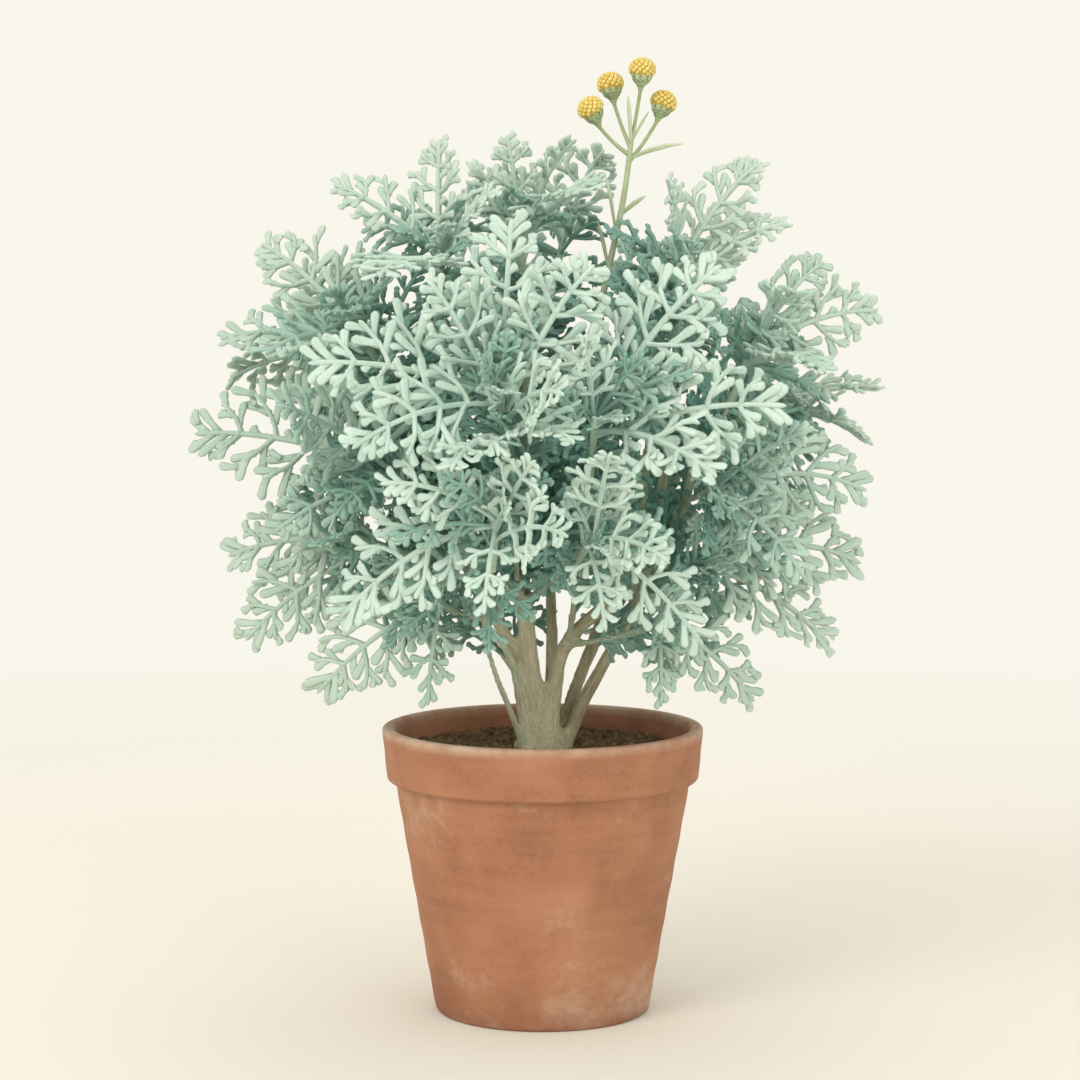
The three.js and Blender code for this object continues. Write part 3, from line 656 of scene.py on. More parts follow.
def sprigPiece(name, sprig, material, values):
    piece = newPiece(name, np.array(sprig["spots"]) * mm, sprig["edges"])
    for key in emptySpot:
        addAttribute(piece, key, sprig[key])
    growMesh(piece, foliageTree, {"Material": material, **values})
    return piece


frondLook = {
    "lobeEvery": 7.0,                       # mm along a pinna, left and right in turn
    "leastLobes": 3,
    "lobeStarts": (0.24, 0.82),             # first and last lobe, in parts of the pinna
    "lobeReach": (0.56, 0.38),              # lobe length there, in parts of the pinna
    "lobeLean": math.radians(37),
    "lobeHalfWidth": (1.6, 0.0105, 2.75),   # mm, more for each mm of the frond, and most
    "lobeThickness": 0.46,                  # of the width
    "lobeVariety": (0.88, 1.12),
    "toneVariety": (-0.06, 0.06),
    "pinnaVariety": (-0.05, 0.05),
    "leanVariety": (-0.12, 0.12),
    "reachVariety": (0.85, 1.15),
    "ribTones": (0.12, 0.14),               # darker at the foot, and lighter along it
    "pinnaTones": (0.05, 0.1),
    "newGrowth": 0.03,                      # lighter at the tip and on small lobes
    "lift": (-0.1, 0.22),                   # a lobe's tip bends out of the blade, in parts of the lobe
    "sway": (-0.1, 0.1),                    # and sideways
    "shortestLobe": 6.2,                    # mm on a pinna
    "sideLobeFrom": 11,                     # mm, lobes longer than this may carry a small one
    "sideLobeShare": 0.45,
    "sideLobeReach": (0.38, 0.5),
    "sideLobeWidth": 0.82,
    "curl": 0.15,
    "curlVariety": (0.3, 1.5),
    "lobedShare": 0.64,                     # of a pinna's length
    "ribWidths": ((0, 1.4), (0.18, 1.6), (0.4, 1.8), (0.62, 1.65), (0.82, 1.35), (0.93, 1.6), (0.98, 1.3),
                  (1, 0.45)),
    "ribExtra": (0.08, 0.29, 0.51, 0.72),   # more places along the rib, for a smooth bend
    "pinnaWidths": ((0, 1.75), (0.2, 1.4), (0.45, 1.3), (0.68, 1.3), (0.88, 1.6), (0.96, 1.3), (1, 0.45)),
    "widthsFor": 1.75,                      # mm, the lobe half width that these widths go with
    "endLobes": 4,
    "endPlaces": (0.05, 0.95),              # parts of the frond after the last pinna, and up to its tip
    "endLean": (-0.05, 0.15),
    "endReach": (0.17, 0.05),               # parts of the frond, and how much less up to its tip
    "betweenShare": 0.55,                   # of the gaps between pinnae that hold a lobe
    "betweenFrom": 9,                       # mm, the least such gap
    "betweenReach": (6, 9),
    "betweenLean": 1.3,                     # times that of other lobes
    "betweenWidth": 0.9,
}


def widthsAt(table, places, scale):
    return np.interp(places, *zip(*table)) * scale


def turnedBy(direction, angle):
    return (direction[0] * math.cos(angle) - direction[1] * math.sin(angle),
            direction[0] * math.sin(angle) + direction[1] * math.cos(angle))


def further(place, direction, length):
    return (place[0] + direction[0] * length, place[1] + direction[1] * length)


# Adds a frond with its lobes. Places and directions are in the frond's s and t
def addFrond(sprig, frond, tone, look, variation, muted=0.0):
    end = frond["length"]
    least, growth, most = look["lobeHalfWidth"]
    halfWidth = min(least + growth * end, most)
    scale = halfWidth / look["widthsFor"]
    lean = look["lobeLean"]

    def addLobe(place, aim, halfWidth, tone):
        (root, tip), normals = onFrond(frond, [place[0], aim[0]], [place[1], aim[1]])
        length = np.linalg.norm(tip - root)
        halfWidth *= variation.uniform(*look["lobeVariety"])
        addSpot(sprig, root, lobe=1, heading=(tip - root) / length, faceNormal=normals[0], muted=muted,
                tone=tone + variation.uniform(*look["toneVariety"]),
                lobeSize=(halfWidth * mm, halfWidth * look["lobeThickness"] * mm, length * mm),
                lift=variation.uniform(*look["lift"]) * length * mm,
                sway=variation.uniform(*look["sway"]) * length * mm)

    # a lobe with the small one that longer lobes carry
    def addLobes(place, direction, length, halfWidth, tone):
        addLobe(place, further(place, direction, length), halfWidth, tone)
        if length > look["sideLobeFrom"] and variation.random() < look["sideLobeShare"]:
            small = turnedBy(direction, variation.choice((-1, 1)) * lean)
            root = further(place, direction, length * 0.5)
            reach = length * variation.uniform(*look["sideLobeReach"])
            addLobe(root, further(root, small, reach), halfWidth * look["sideLobeWidth"],
                    tone + look["newGrowth"])

    places = np.sort([place for place, width in look["ribWidths"]] + list(look["ribExtra"]))
    spots, normals = onFrond(frond, places * end, 0)
    darker, lighter = look["ribTones"]
    addLine(sprig, spots, widthsAt(look["ribWidths"], places, scale), normals,
            tone - darker + lighter * places, muted=muted)
    darker, lighter = look["pinnaTones"]
    for pinna in frond["pinnae"]:
        length = pinna["length"]
        curl = look["curl"] * variation.uniform(*look["curlVariety"]) * length
        outward = lambda x: onPinna(pinna, x * length, -curl * 2 * x * (1 - x))
        xs = np.array([x for x, width in look["pinnaWidths"]])
        spots, normals = onFrond(frond, *zip(*[outward(x) for x in xs]))
        pinnaTone = tone + variation.uniform(*look["pinnaVariety"])
        addLine(sprig, spots, widthsAt(look["pinnaWidths"], xs, scale), normals,
                pinnaTone - darker + lighter * xs, muted=muted)
        count = max(look["leastLobes"], round(length * look["lobedShare"] / look["lobeEvery"]) + 1)
        side = variation.choice((-1, 1))
        for x in np.linspace(*look["lobeStarts"], count):
            place = outward(x)
            axis = unit(np.array(outward(x + 0.05)) - np.array(place))
            turn = side * (lean + variation.uniform(*look["leanVariety"]))
            share = np.interp(x, look["lobeStarts"], look["lobeReach"])
            share *= variation.uniform(*look["reachVariety"])
            reach = max(share * length, look["shortestLobe"])
            addLobes(place, turnedBy(axis, turn), reach, halfWidth, pinnaTone)
            side = -side
    # lobes straight on the rib, between the pinnae and near the tip
    starts = sorted({pinna["start"] for pinna in pinnaeOf(frond)})
    for a, b in zip(starts, starts[1:]):
        if variation.random() < look["betweenShare"] and b - a > look["betweenFrom"]:
            turn = variation.choice((-1, 1)) * lean * look["betweenLean"]
            addLobes(((a + b) / 2, 0), turnedBy((1, 0), turn), variation.uniform(*look["betweenReach"]),
                     halfWidth * look["betweenWidth"], tone)
    after, upTo = look["endPlaces"]
    last = starts[-1] + after * end
    for i in range(look["endLobes"]):
        place = last + (upTo * end - last) * (i + 0.5) / look["endLobes"]
        turn = (-1) ** i * (lean + variation.uniform(*look["endLean"]))
        reach = end * (look["endReach"][0] - look["endReach"][1] * i / look["endLobes"])
        addLobes((place, 0), turnedBy((1, 0), turn), reach, halfWidth, tone + look["newGrowth"])


# Soft blotches and a finer grain over them, both round 0.5
def makeMottle():
    tree, given = newTree("ShaderNodeTree", "mottle",
                          {"Vector": (0.0, 0.0, 0.0), "Blotch Scale": 60.0, "Grain Scale": 600.0},
                          {"Blotch": "Float", "Grain": "Float"})
    blotch = given["Vector"].noise(given["Blotch Scale"], 2.0, 0.5, 0.4)
    grain = given["Vector"].noise(given["Grain Scale"], 3.0, 0.6)
    tree.add("GroupOutput", blotch.mapped(0.3, 0.7), grain.mapped(0.3, 0.7))
    return tree.plain


# Close silky hairs: a height for the bump and a frosted mask
def makeFelt():
    tree, given = newTree("ShaderNodeTree", "felt", {"Vector": (0.0, 0.0, 0.0), "Hair Scale": 2400.0},
                          {"Height": "Float", "Frost": "Float"})
    fibre = given["Vector"].noise(given["Hair Scale"], 2.0, 0.7, 1.2)
    patch = given["Vector"].noise(given["Hair Scale"] * 0.12, 2.0)
    tree.add("GroupOutput", fibre, fibre.mapped(0.42, 0.62) * patch.mapped(0.35, 0.65, 0.4, 1.0))
    return tree.plain


mottleGroup = makeMottle()
feltGroup = makeFelt()


def mottled(tree, paint):
    return tree.add("Group", node_tree=mottleGroup, vector=tree.objectPlace(),
                    blotchScale=paint["blotchScale"], grainScale=paint["grainScale"])


def felted(tree, paint):
    return tree.add("Group", node_tree=feltGroup, vector=tree.objectPlace(), hairScale=paint["hairScale"])


# A material from a function that gives the shader's inputs
def newMaterial(name, paintOn):
    material = bpy.data.materials.new(name)
    material.use_nodes = True
    tree = Tree(material.node_tree)
    tree.plain.nodes.clear()
    tree.add("OutputMaterial", tree.add("BsdfPrincipled", **paintOn(tree)))
    return material


leafPaint = {
    "tones": ((0.0, "#659789"), (0.3, "#7da699"), (0.6, "#98b9aa"), (0.82, "#b1cabd"), (1.0, "#c9dcd0")),
    "muted": "#c4d2c2",
    "stem": ((0.0, "#7f9172"), (1.0, "#b3bf98")),
    "blotchScale": 45.0,
    "grainScale": 520.0,
    "hairScale": 2300.0,
    # painted shade of a groove: the middle of each lobe is darker
    "groove": 0.1,                  # darker by so much along the middle of a lobe
    "roughness": (0.58, 0.8),
    "bump": (0.35, 0.0004),
    "surface": {"sheenWeight": 0.22, "sheenRoughness": 0.45, "specularIORLevel": 0.35},
}


def paintLeaf(tree):
    mottle = mottled(tree, leafPaint)
    felt = felted(tree, leafPaint)
    frost = felt["Frost"]
    tone = tree.spotValue("tone") + mottle["Blotch"].swing(0.1) + mottle["Grain"].swing(0.05)
    tone = tone + frost.mapped(0.0, 1.0, -0.03, 0.07)
    # painted shade along the middle of each lobe, as if in a groove
    tone = tone - tree.spotValue("across").math("ABSOLUTE").mapped(0.0, 0.4, leafPaint["groove"], 0.0)
    leaf = tree.spotValue("muted").mixed(tone.ramp(leafPaint["tones"]), colour(leafPaint["muted"]))
    stem = mottle["Grain"].ramp(leafPaint["stem"])
    return {"baseColor": tree.spotValue("stemness").mixed(leaf, stem),
            "roughness": frost.mapped(0.0, 1.0, *leafPaint["roughness"]),
            "normal": felt["Height"].bump(*leafPaint["bump"]), **leafPaint["surface"]}


leafMaterial = newMaterial("silverLeaf", paintLeaf)

# Leafy shoots: painted light and shade, how bright each side of the bush is, and how the outermost fronds
# pale
sideLightTones = {"front": 0.97, "left": 0.72, "right": 0.84, "top": 0.88, "low": 0.72, "back": 0.82}
shootMesh = {"Sides": 6, "Lobe Rings": 4, "Rib Flatness": 0.62}
greenStem = {"steps": 8, "darker": 0.1, "stemness": 0.55, "tipRadius": 0.6}
youngLeaves = {"count": 3, "length": (24, 36), "spread": (0.5, 1.1), "tone": 0.9,
               "turn": 2.4, "turnVariety": (-0.4, 0.4)}
youngTraits = {"arch": 0.16, "twist": 0.3, "cup": 0.15, "ripple": 0.12}
youngRolls = (-0.5, 0.5)
paleOutside = {"from": 0.8, "to": 1.05, "most": 0.55}


def palenessAt(spot):
    out = np.hypot(*((spot - bushCentre) / bushReach)[[0, 2]])
    return np.interp(out, (paleOutside["from"], paleOutside["to"]), (0, paleOutside["most"]))


def beside(direction):
    return unit(np.cross(direction, (0.3, 0.9, 0.2)))


# A small frond with all its pinnae, which leaves a stem in a given direction
def smallFrond(base, direction, length, variation):
    traits = {**youngTraits, "phase": variation.uniform(0, 6.28), "roll": variation.uniform(*youngRolls)}
    frond = makeFrond(base, base + direction * length, frondBends[0], traits)
    frond["pinnae"] = pinnaeOf(frond)
    return frond


def leafyShoot(name):
    variation = random.Random("leafy shoot " + name)
    sprig = newSprig()
    branch = branches[name]
    # painted light and shade: each side of the bush gets its own brightness, the front the most
    tone = sideLightTones[name.split("_")[0]]
    steps = greenStem["steps"]
    green = bezier(branch["start"], branch["knee"], branch["end"], np.linspace(branch["split"], 1, steps))
    radii = np.linspace(*branching["greenRadii"], steps)
    radii[-1] *= greenStem["tipRadius"]
    upward = unit(green[-1] - green[-2])
    addLine(sprig, green, radii, [beside(upward)] * steps, [tone - greenStem["darker"]] * steps, roundness=1,
            stemness=greenStem["stemness"])
    for frond in fronds[name]:
        own = tone + variation.uniform(*frondLook["toneVariety"])
        addFrond(sprig, frond, own, frondLook, variation, palenessAt(frond["tip"]))
    for i in range(youngLeaves["count"]):
        turn = i * youngLeaves["turn"] + variation.uniform(*youngLeaves["turnVariety"])
        spread = variation.uniform(*youngLeaves["spread"])
        side = beside(upward) * math.cos(turn) + np.cross(upward, beside(upward)) * math.sin(turn)
        direction = unit(upward * math.cos(spread) + side * math.sin(spread))
        young = smallFrond(green[-2], direction, variation.uniform(*youngLeaves["length"]), variation)
        addFrond(sprig, young, youngLeaves["tone"] * tone, frondLook, variation)
    return sprigPiece("leafyShoot_" + name, sprig, leafMaterial, shootMesh)


for name in shoots:
    finish(leafyShoot(name), "leaves", "leafy_shoot_" + name)


# A smooth row of points through given ones, with a radius for each
def smoothPath(points, radii, step):
    points = np.asarray(points, float)
    padded = np.vstack([2 * points[0] - points[1], points, 2 * points[-1] - points[-2]])
    spots, sizes = [], []
    for i in range(len(points) - 1):
        a, b, c, d = padded[i:i + 4]
        count = max(2, round(np.linalg.norm(c - b) / step))
        for k in range(count + (i == len(points) - 2)):
            u = k / count
            spots.append(0.5 * (2 * b + (c - a) * u + (2 * a - 5 * b + 4 * c - d) * u ** 2
                                + (3 * b - a - 3 * c + d) * u ** 3))
            sizes.append(radii[i] + (radii[i + 1] - radii[i]) * u)
    return np.array(spots), np.array(sizes)


# Woody stems: every stem and branch swept, melted into one skin, then ridged along the bark
bark = {
    "sides": 14,
    "step": 3.0,
    "branchSteps": 14,
    "thicker": 0.3,             # mm, where a branch leaves its stem
    "voxel": 1.35,
    "band": 4.0,
    "smoothing": 5,
    "crown": ((9, -46), (17.5, -18), (18, -5), (17, 1.5), (13.5, 7), (9, 13), (5, 19)),
    "ridgeHeight": 0.5,
    "ridgesPerMm": 0.42,
    "fineRidges": (2.3, 0.5),   # times as many and as high
    "fullHeightFrom": 5.0,      # mm, the radius from which ridges have their full height
    "stretch": 0.13,
    "oldBelow": 210.0,
    "oldRadii": (1.6, 4.6),     # mm, from green to fully old
}

bole = newSprig()
woodSamples = []


def addWood(spots, radii, sampled=True):
    directions = unit(np.gradient(spots, axis=0))
    frame = beside(directions[0])
    along = 0.0
    frames = []
    for i, (spot, direction) in enumerate(zip(spots, directions)):
        frame = unit(frame - direction * (frame @ direction))
        along += np.linalg.norm(spot - spots[i - 1]) if i else 0.0
        frames.append(frame)
        if sampled:
            woodSamples.append((spot, direction, frame, along, radii[i]))
    addLine(bole, spots, radii, frames, [0] * len(spots), roundness=1)


def makeMeltTree():
    tree, given = shapeTree("meltedWood", {"Voxel": mm, "Smoothing": 6, "Least": 200.0})
    voxels = {"resolution_mode": "VOXEL_SIZE", "voxelSize": given["Voxel"]}
    volume = tree.add("MeshToVolume", given, **voxels, density=1.0, interiorBandWidth=bark["band"] * mm)
    skin = tree.add("VolumeToMesh", volume, **voxels, threshold=0.1)
    island = tree.add("InputMeshIsland")["Island Index"]
    size = tree.add("AccumulateField", 1.0, groupID=island)["Total"]
    whole = tree.add("DeleteGeometry", skin, size.math("LESS_THAN", given["Least"]))    # specks at thin tips
    even = tree.add("BlurAttribute", data_type="FLOAT_VECTOR", value=tree.add("InputPosition"),
                    iterations=given["Smoothing"])
    return endTree(tree, given, tree.add("SetPosition", whole, position=even))


def ridgeBark(piece):
    nearest = KDTree(len(woodSamples))
    for i, sample in enumerate(woodSamples):
        nearest.insert(sample[0] * mm, i)
    nearest.balance()
    spots = np.array([vertex.co for vertex in piece.data.vertices]) / mm
    normals = np.array([vertex.normal for vertex in piece.data.vertices])
    finer, lower = bark["fineRidges"]
    green, old = bark["oldRadii"]
    places, ages, rises = [], [], []
    for at in spots:
        spot, direction, frame, along, radius = woodSamples[nearest.find(at * mm)[1]]
        away = at - spot
        further = along + away @ direction
        place = Vector((away @ frame, away @ np.cross(direction, frame), further * bark["stretch"]))
        places.append(place)
        height = min(max(1 - (at[2] - soilLevel) / bark["oldBelow"], 0), 1)
        ages.append(height * min(max((radius - green) / (old - green), 0.25), 1))
        coarse = place * bark["ridgesPerMm"]
        ridge = noise.noise(coarse) + lower * noise.noise(coarse * finer)
        rises.append(ridge * bark["ridgeHeight"] * min(radius / bark["fullHeightFrom"], 1.3))
    ridged = (spots + normals * np.array(rises)[:, None]) * mm
    piece.data.vertices.foreach_set("co", ridged.ravel())
    piece.data.update()
    addAttribute(piece, "barkPlace", places)
    addAttribute(piece, "age", ages)


for radii, path in mainStems.values():
    addWood(*smoothPath([overSoil(spot) for spot in path], np.linspace(*radii, len(path)), bark["step"]))
for branch in [*branches.values(), stalkBranch]:
    shares = np.linspace(0, branch["split"], bark["branchSteps"])
    radii = np.linspace(branching["radius"] + bark["thicker"], branching["greenRadii"][0], len(shares))
    addWood(bezier(branch["start"], branch["knee"], branch["end"], shares), radii)
radii, heights = zip(*bark["crown"])
addWood(np.array([overSoil((0, 0, height)) for height in heights]), radii, sampled=False)

barkPaint = {
    "old": ((0.0, "#8c8266"), (0.45, "#b3a98b"), (1.0, "#cdc5ab")),
    "young": ((0.0, "#889a80"), (0.5, "#a7b49a"), (1.0, "#c5ceb4")),
    "blotchScale": 28.0,
    "grainScale": 900.0,
    "streakScale": 1.1,
    "patchScale": 0.22,
    "roughness": (0.9, 0.68),
    "bump": (0.5, 0.0007),
}


def paintBark(tree):
    fibre = tree.spotValue("barkPlace", "Vector")
    streak = fibre.noise(barkPaint["streakScale"], 4.0, 0.65)
    patch = fibre.noise(barkPaint["patchScale"], 2.0)
    mottle = mottled(tree, barkPaint)
    tone = (streak * 0.75 + mottle["Blotch"] * 0.25).mapped(0.3, 0.68) + mottle["Grain"].swing(0.08)
    age = tree.spotValue("age") + patch.mapped(0.3, 0.7, -0.2, 0.2)
    young, old = (tone.ramp(barkPaint[name]) for name in ("young", "old"))
    return {"baseColor": age.mapped(0.1, 0.55).mixed(young, old),
            "roughness": streak.mapped(0.3, 0.7, *barkPaint["roughness"]),
            "normal": streak.bump(*barkPaint["bump"]), "specularIORLevel": 0.3}


barkMaterial = newMaterial("fibrousBark", paintBark)
woodyStems = sprigPiece("woodyStems", bole, barkMaterial, {"Sides": bark["sides"]})
growMesh(woodyStems, makeMeltTree(), {"Voxel": bark["voxel"] * mm, "Smoothing": bark["smoothing"],
                                      "Material": barkMaterial})
ridgeBark(woodyStems)
finish(woodyStems, "bark", "woody_stems")

# Inner leaves: smaller fronds, darker with painted shade the deeper they lie, that leave the branches and
# fill the bush behind the outer ones
innerLook = {**frondLook, "leastLobes": 2, "lobeEvery": 8.0, "sideLobeShare": 0.0, "betweenShare": 0.2,
             "lobeHalfWidth": (1.75, 0.008, 2.75)}
innerMesh = {"Sides": 5, "Lobe Rings": 3, "Rib Flatness": 0.6}
innerLeaves = {
    "places": 590,                  # tried all through the bush
    "turn": 137.508,                # degrees from each to the next
    "from": 0.06,                   # depth in parts of the bush, 0 in its middle and 1 at its skin
    "to": 0.9,
    "length": (30, 66),
    "uprightness": 0.7,
    "straightness": 0.35,
    # painted shade: the tone of the deepest fronds and of those near the skin
    "tone": (0.08, 0.54),           # deep and near the skin
    "toneDepths": (0.4, 0.9),
    "above": (96.0, 0.58, 24),      # height over the soil at the trunk, less for each mm from it, and least
    "pieces": ("innerLeavesBehind", "innerLeavesLeft", "innerLeavesMiddle", "innerLeavesRight"),
}
twigs = np.concatenate([bezier(branch["start"], branch["knee"], branch["end"], np.linspace(0.1, 1, 16))
                        for branch in branches.values()])


# Where a frond of a fitting length could leave a twig and reach this spot, growing outward
def nearestTwig(spot):
    away = spot - twigs
    lengths = np.linalg.norm(away, axis=1)
    outward = unit(unit((spot - bushCentre) / bushReach ** 2) + np.array([0, 0, innerLeaves["uprightness"]]))
    shortest, longest = innerLeaves["length"]
    straight = away @ outward > innerLeaves["straightness"] * lengths
    fits = (lengths > shortest) & (lengths < longest) & straight
    return twigs[np.where(fits, lengths, np.inf).argmin()] if fits.any() else None


# One quarter of the way round the trunk
def innerPiece(name, quarter):
    variation = random.Random("inner leaves " + name)
    sprig = newSprig()
    count = innerLeaves["places"]
    high, fall, least = innerLeaves["above"]
    dark, light = innerLeaves["tone"]
    near, far = innerLeaves["toneDepths"]
    for i in range(count):
        rise = 1 - 2 * (i + 0.5) / count
        turn = i * innerLeaves["turn"] % 360
        if turn // 90 == quarter:
            depth = variation.uniform(innerLeaves["from"], 1) ** 0.6 * innerLeaves["to"]
            out = math.sqrt(1 - rise * rise)
            angle = math.radians(turn)
            away = np.array([out * math.cos(angle), out * math.sin(angle), rise])
            spot = bushCentre + bushReach * depth * away
            base = nearestTwig(spot)
            lowest = soilLevel + max(high - fall * math.hypot(*spot[:2]), least)
            if base is not None and spot[2] > lowest:
                frond = smallFrond(base, unit(spot - base), np.linalg.norm(spot - base), variation)
                # painted shade: the deeper a frond lies, the darker its tone
                tone = dark + (light - dark) * max(depth - near, 0) / (far - near)
                tone += variation.uniform(*innerLook["toneVariety"])
                addFrond(sprig, frond, tone, innerLook, variation)
    finish(sprigPiece(name, sprig, leafMaterial, innerMesh), "leaves")


for quarter, name in enumerate(innerLeaves["pieces"]):
    innerPiece(name, quarter)

# Flower stalk with its forks, green cups, scales and narrow bracts
stalkLook = {
    "step": 6.0,
    "forkStep": 2.5,
    "neck": (0.55, 0.1, 1.0),       # the bend of a fork: shares of cup and fork, and mm down
    "neckRadius": 1.0,
    "bractWidths": ((0, 0.8), (0.3, 1.3), (0.6, 1.5), (0.85, 0.95), (1, 0.3)),
    # height from the head, radius, length and lean of each row of scales
    "scaleRows": ((-8.4, 2.4, 3.4, 0.75), (-7.0, 3.8, 3.6, 0.5), (-5.8, 4.9, 3.4, 0.5)),
    "scalesEach": 9,
    "scaleSunk": 0.35,
    "scaleHalfWidth": 1.45,
    "scaleThickness": 0.28,
    "scaleLift": -0.12,
    "scaleTones": (-0.1, 0.15),
    "tones": {"stalk": 0.55, "fork": 0.45, "cup": 0.2, "scale": 0.35, "bract": 0.85},
    "mesh": {"Sides": 10, "Rib Flatness": 0.34},
}

stalkPaint = {
    "tones": ((0.0, "#7d8b5e"), (0.35, "#a1ae83"), (0.6, "#b8c4a0"), (1.0, "#d2dcc2")),
    "blotchScale": 80.0,
    "grainScale": 700.0,
    "hairScale": 2600.0,
    "ribs": 11.0,
    "roughness": (0.5, 0.7),
    "bump": (0.3, 0.0004),
    "surface": {"sheenWeight": 0.12, "sheenRoughness": 0.5, "specularIORLevel": 0.4},
}


def paintStalk(tree):
    mottle = mottled(tree, stalkPaint)
    rib = (tree.spotValue("across") * stalkPaint["ribs"]).math("SINE")
    tone = tree.spotValue("tone") + mottle["Blotch"].swing(0.12) + mottle["Grain"].swing(0.06) + rib * 0.07
    height = felted(tree, stalkPaint)["Height"] + rib * 0.4
    return {"baseColor": tone.ramp(stalkPaint["tones"]),
            "roughness": mottle["Grain"].mapped(0.0, 1.0, *stalkPaint["roughness"]),
            "normal": height.bump(*stalkPaint["bump"]), **stalkPaint["surface"]}


def headPlaces():
    low, top = stalkPoints[-2:]
    places = []
    for head, height in zip(stalk["heads"], stalk["forkHeights"]):
        centre = overSoil(head)
        fork = low + (top - low) * (soilLevel + height - low[2]) / (top[2] - low[2])
        axis = unit(unit(centre - fork) + np.array([0, 0, stalk["headUprightness"]]))
        places.append((centre, axis, fork))
    return places


def addScales(sprig, centre, axis, variation):
    across = beside(axis)
    halfWidth = stalkLook["scaleHalfWidth"]
    for row, (below, radius, length, lean) in enumerate(stalkLook["scaleRows"]):
        for i in range(stalkLook["scalesEach"]):
            turn = 2 * math.pi * (i + 0.5 * row) / stalkLook["scalesEach"]
            side = across * math.cos(turn) + np.cross(axis, across) * math.sin(turn)
            heading = unit(axis + side * lean)
            foot = centre + axis * below + side * (radius - stalkLook["scaleSunk"])
            addSpot(sprig, foot, lobe=1, heading=heading, faceNormal=unit(side - heading * (side @ heading)),
                    tone=stalkLook["tones"]["scale"] + variation.uniform(*stalkLook["scaleTones"]),
                    lobeSize=(halfWidth * mm, halfWidth * stalkLook["scaleThickness"] * mm, length * mm),
                    lift=stalkLook["scaleLift"] * length * mm)


def makeStalk():
    sprig = newSprig()
    variation = random.Random("flower stalk")
    tones = stalkLook["tones"]
    spots, sizes = smoothPath(stalkPoints, np.linspace(*stalk["radii"], len(stalkPoints)), stalkLook["step"])
    front = np.array([0, -1, 0.2])
    addLine(sprig, spots, sizes, [front] * len(spots), [tones["stalk"]] * len(spots), roundness=1)
    towards, back, down = stalkLook["neck"]
    for centre, axis, fork in headPlaces():
        cup = [centre + axis * below for below in stalk["cupBelowHead"]]
        neck = towards * (fork + cup[0]) - back * fork - np.array([0, 0, down])
        widths = [stalk["forkRadius"] + 0.2, stalkLook["neckRadius"], *stalk["cupRadii"]]
        path, radii = smoothPath([fork, neck, *cup], widths, stalkLook["forkStep"])
        shades = np.interp(np.arange(len(path)), (0, len(path) - 4), (tones["fork"], tones["cup"]))
        addLine(sprig, path, radii, [front] * len(path), shades, roundness=1)
        addScales(sprig, centre, axis, variation)
    for start, end in stalk["bracts"]:
        bract = makeFrond(overSoil(start), overSoil(end), frondBends[0], stalk["bractTraits"])
        places = np.linspace(0, 1, 9)
        spots, normals = onFrond(bract, places * bract["length"], 0)
        addLine(sprig, spots, widthsAt(stalkLook["bractWidths"], places, 1), normals,
                tones["bract"] - 0.25 * (1 - places))
    piece = sprigPiece("flowerStalk", sprig, newMaterial("ribbedStalk", paintStalk), stalkLook["mesh"])
    finish(piece, "stalk", "flower_stalk")


makeStalk()

# Button heads: a flattened dome set with florets in the spiral of a real flower head
headSizes = {"Dome Radius": 6.5 * mm, "Flatness": 0.88, "Foot": -4.2 * mm, "Florets": 66, "Lowest": -0.34,
             "Floret Radius": 1.02 * mm, "Floret Height": 1.9 * mm, "Seed": 5}
floretShape = {"vertices": 10, "sideSegments": 3, "lobes": 5.0, "lobing": 0.12, "dip": 0.22}


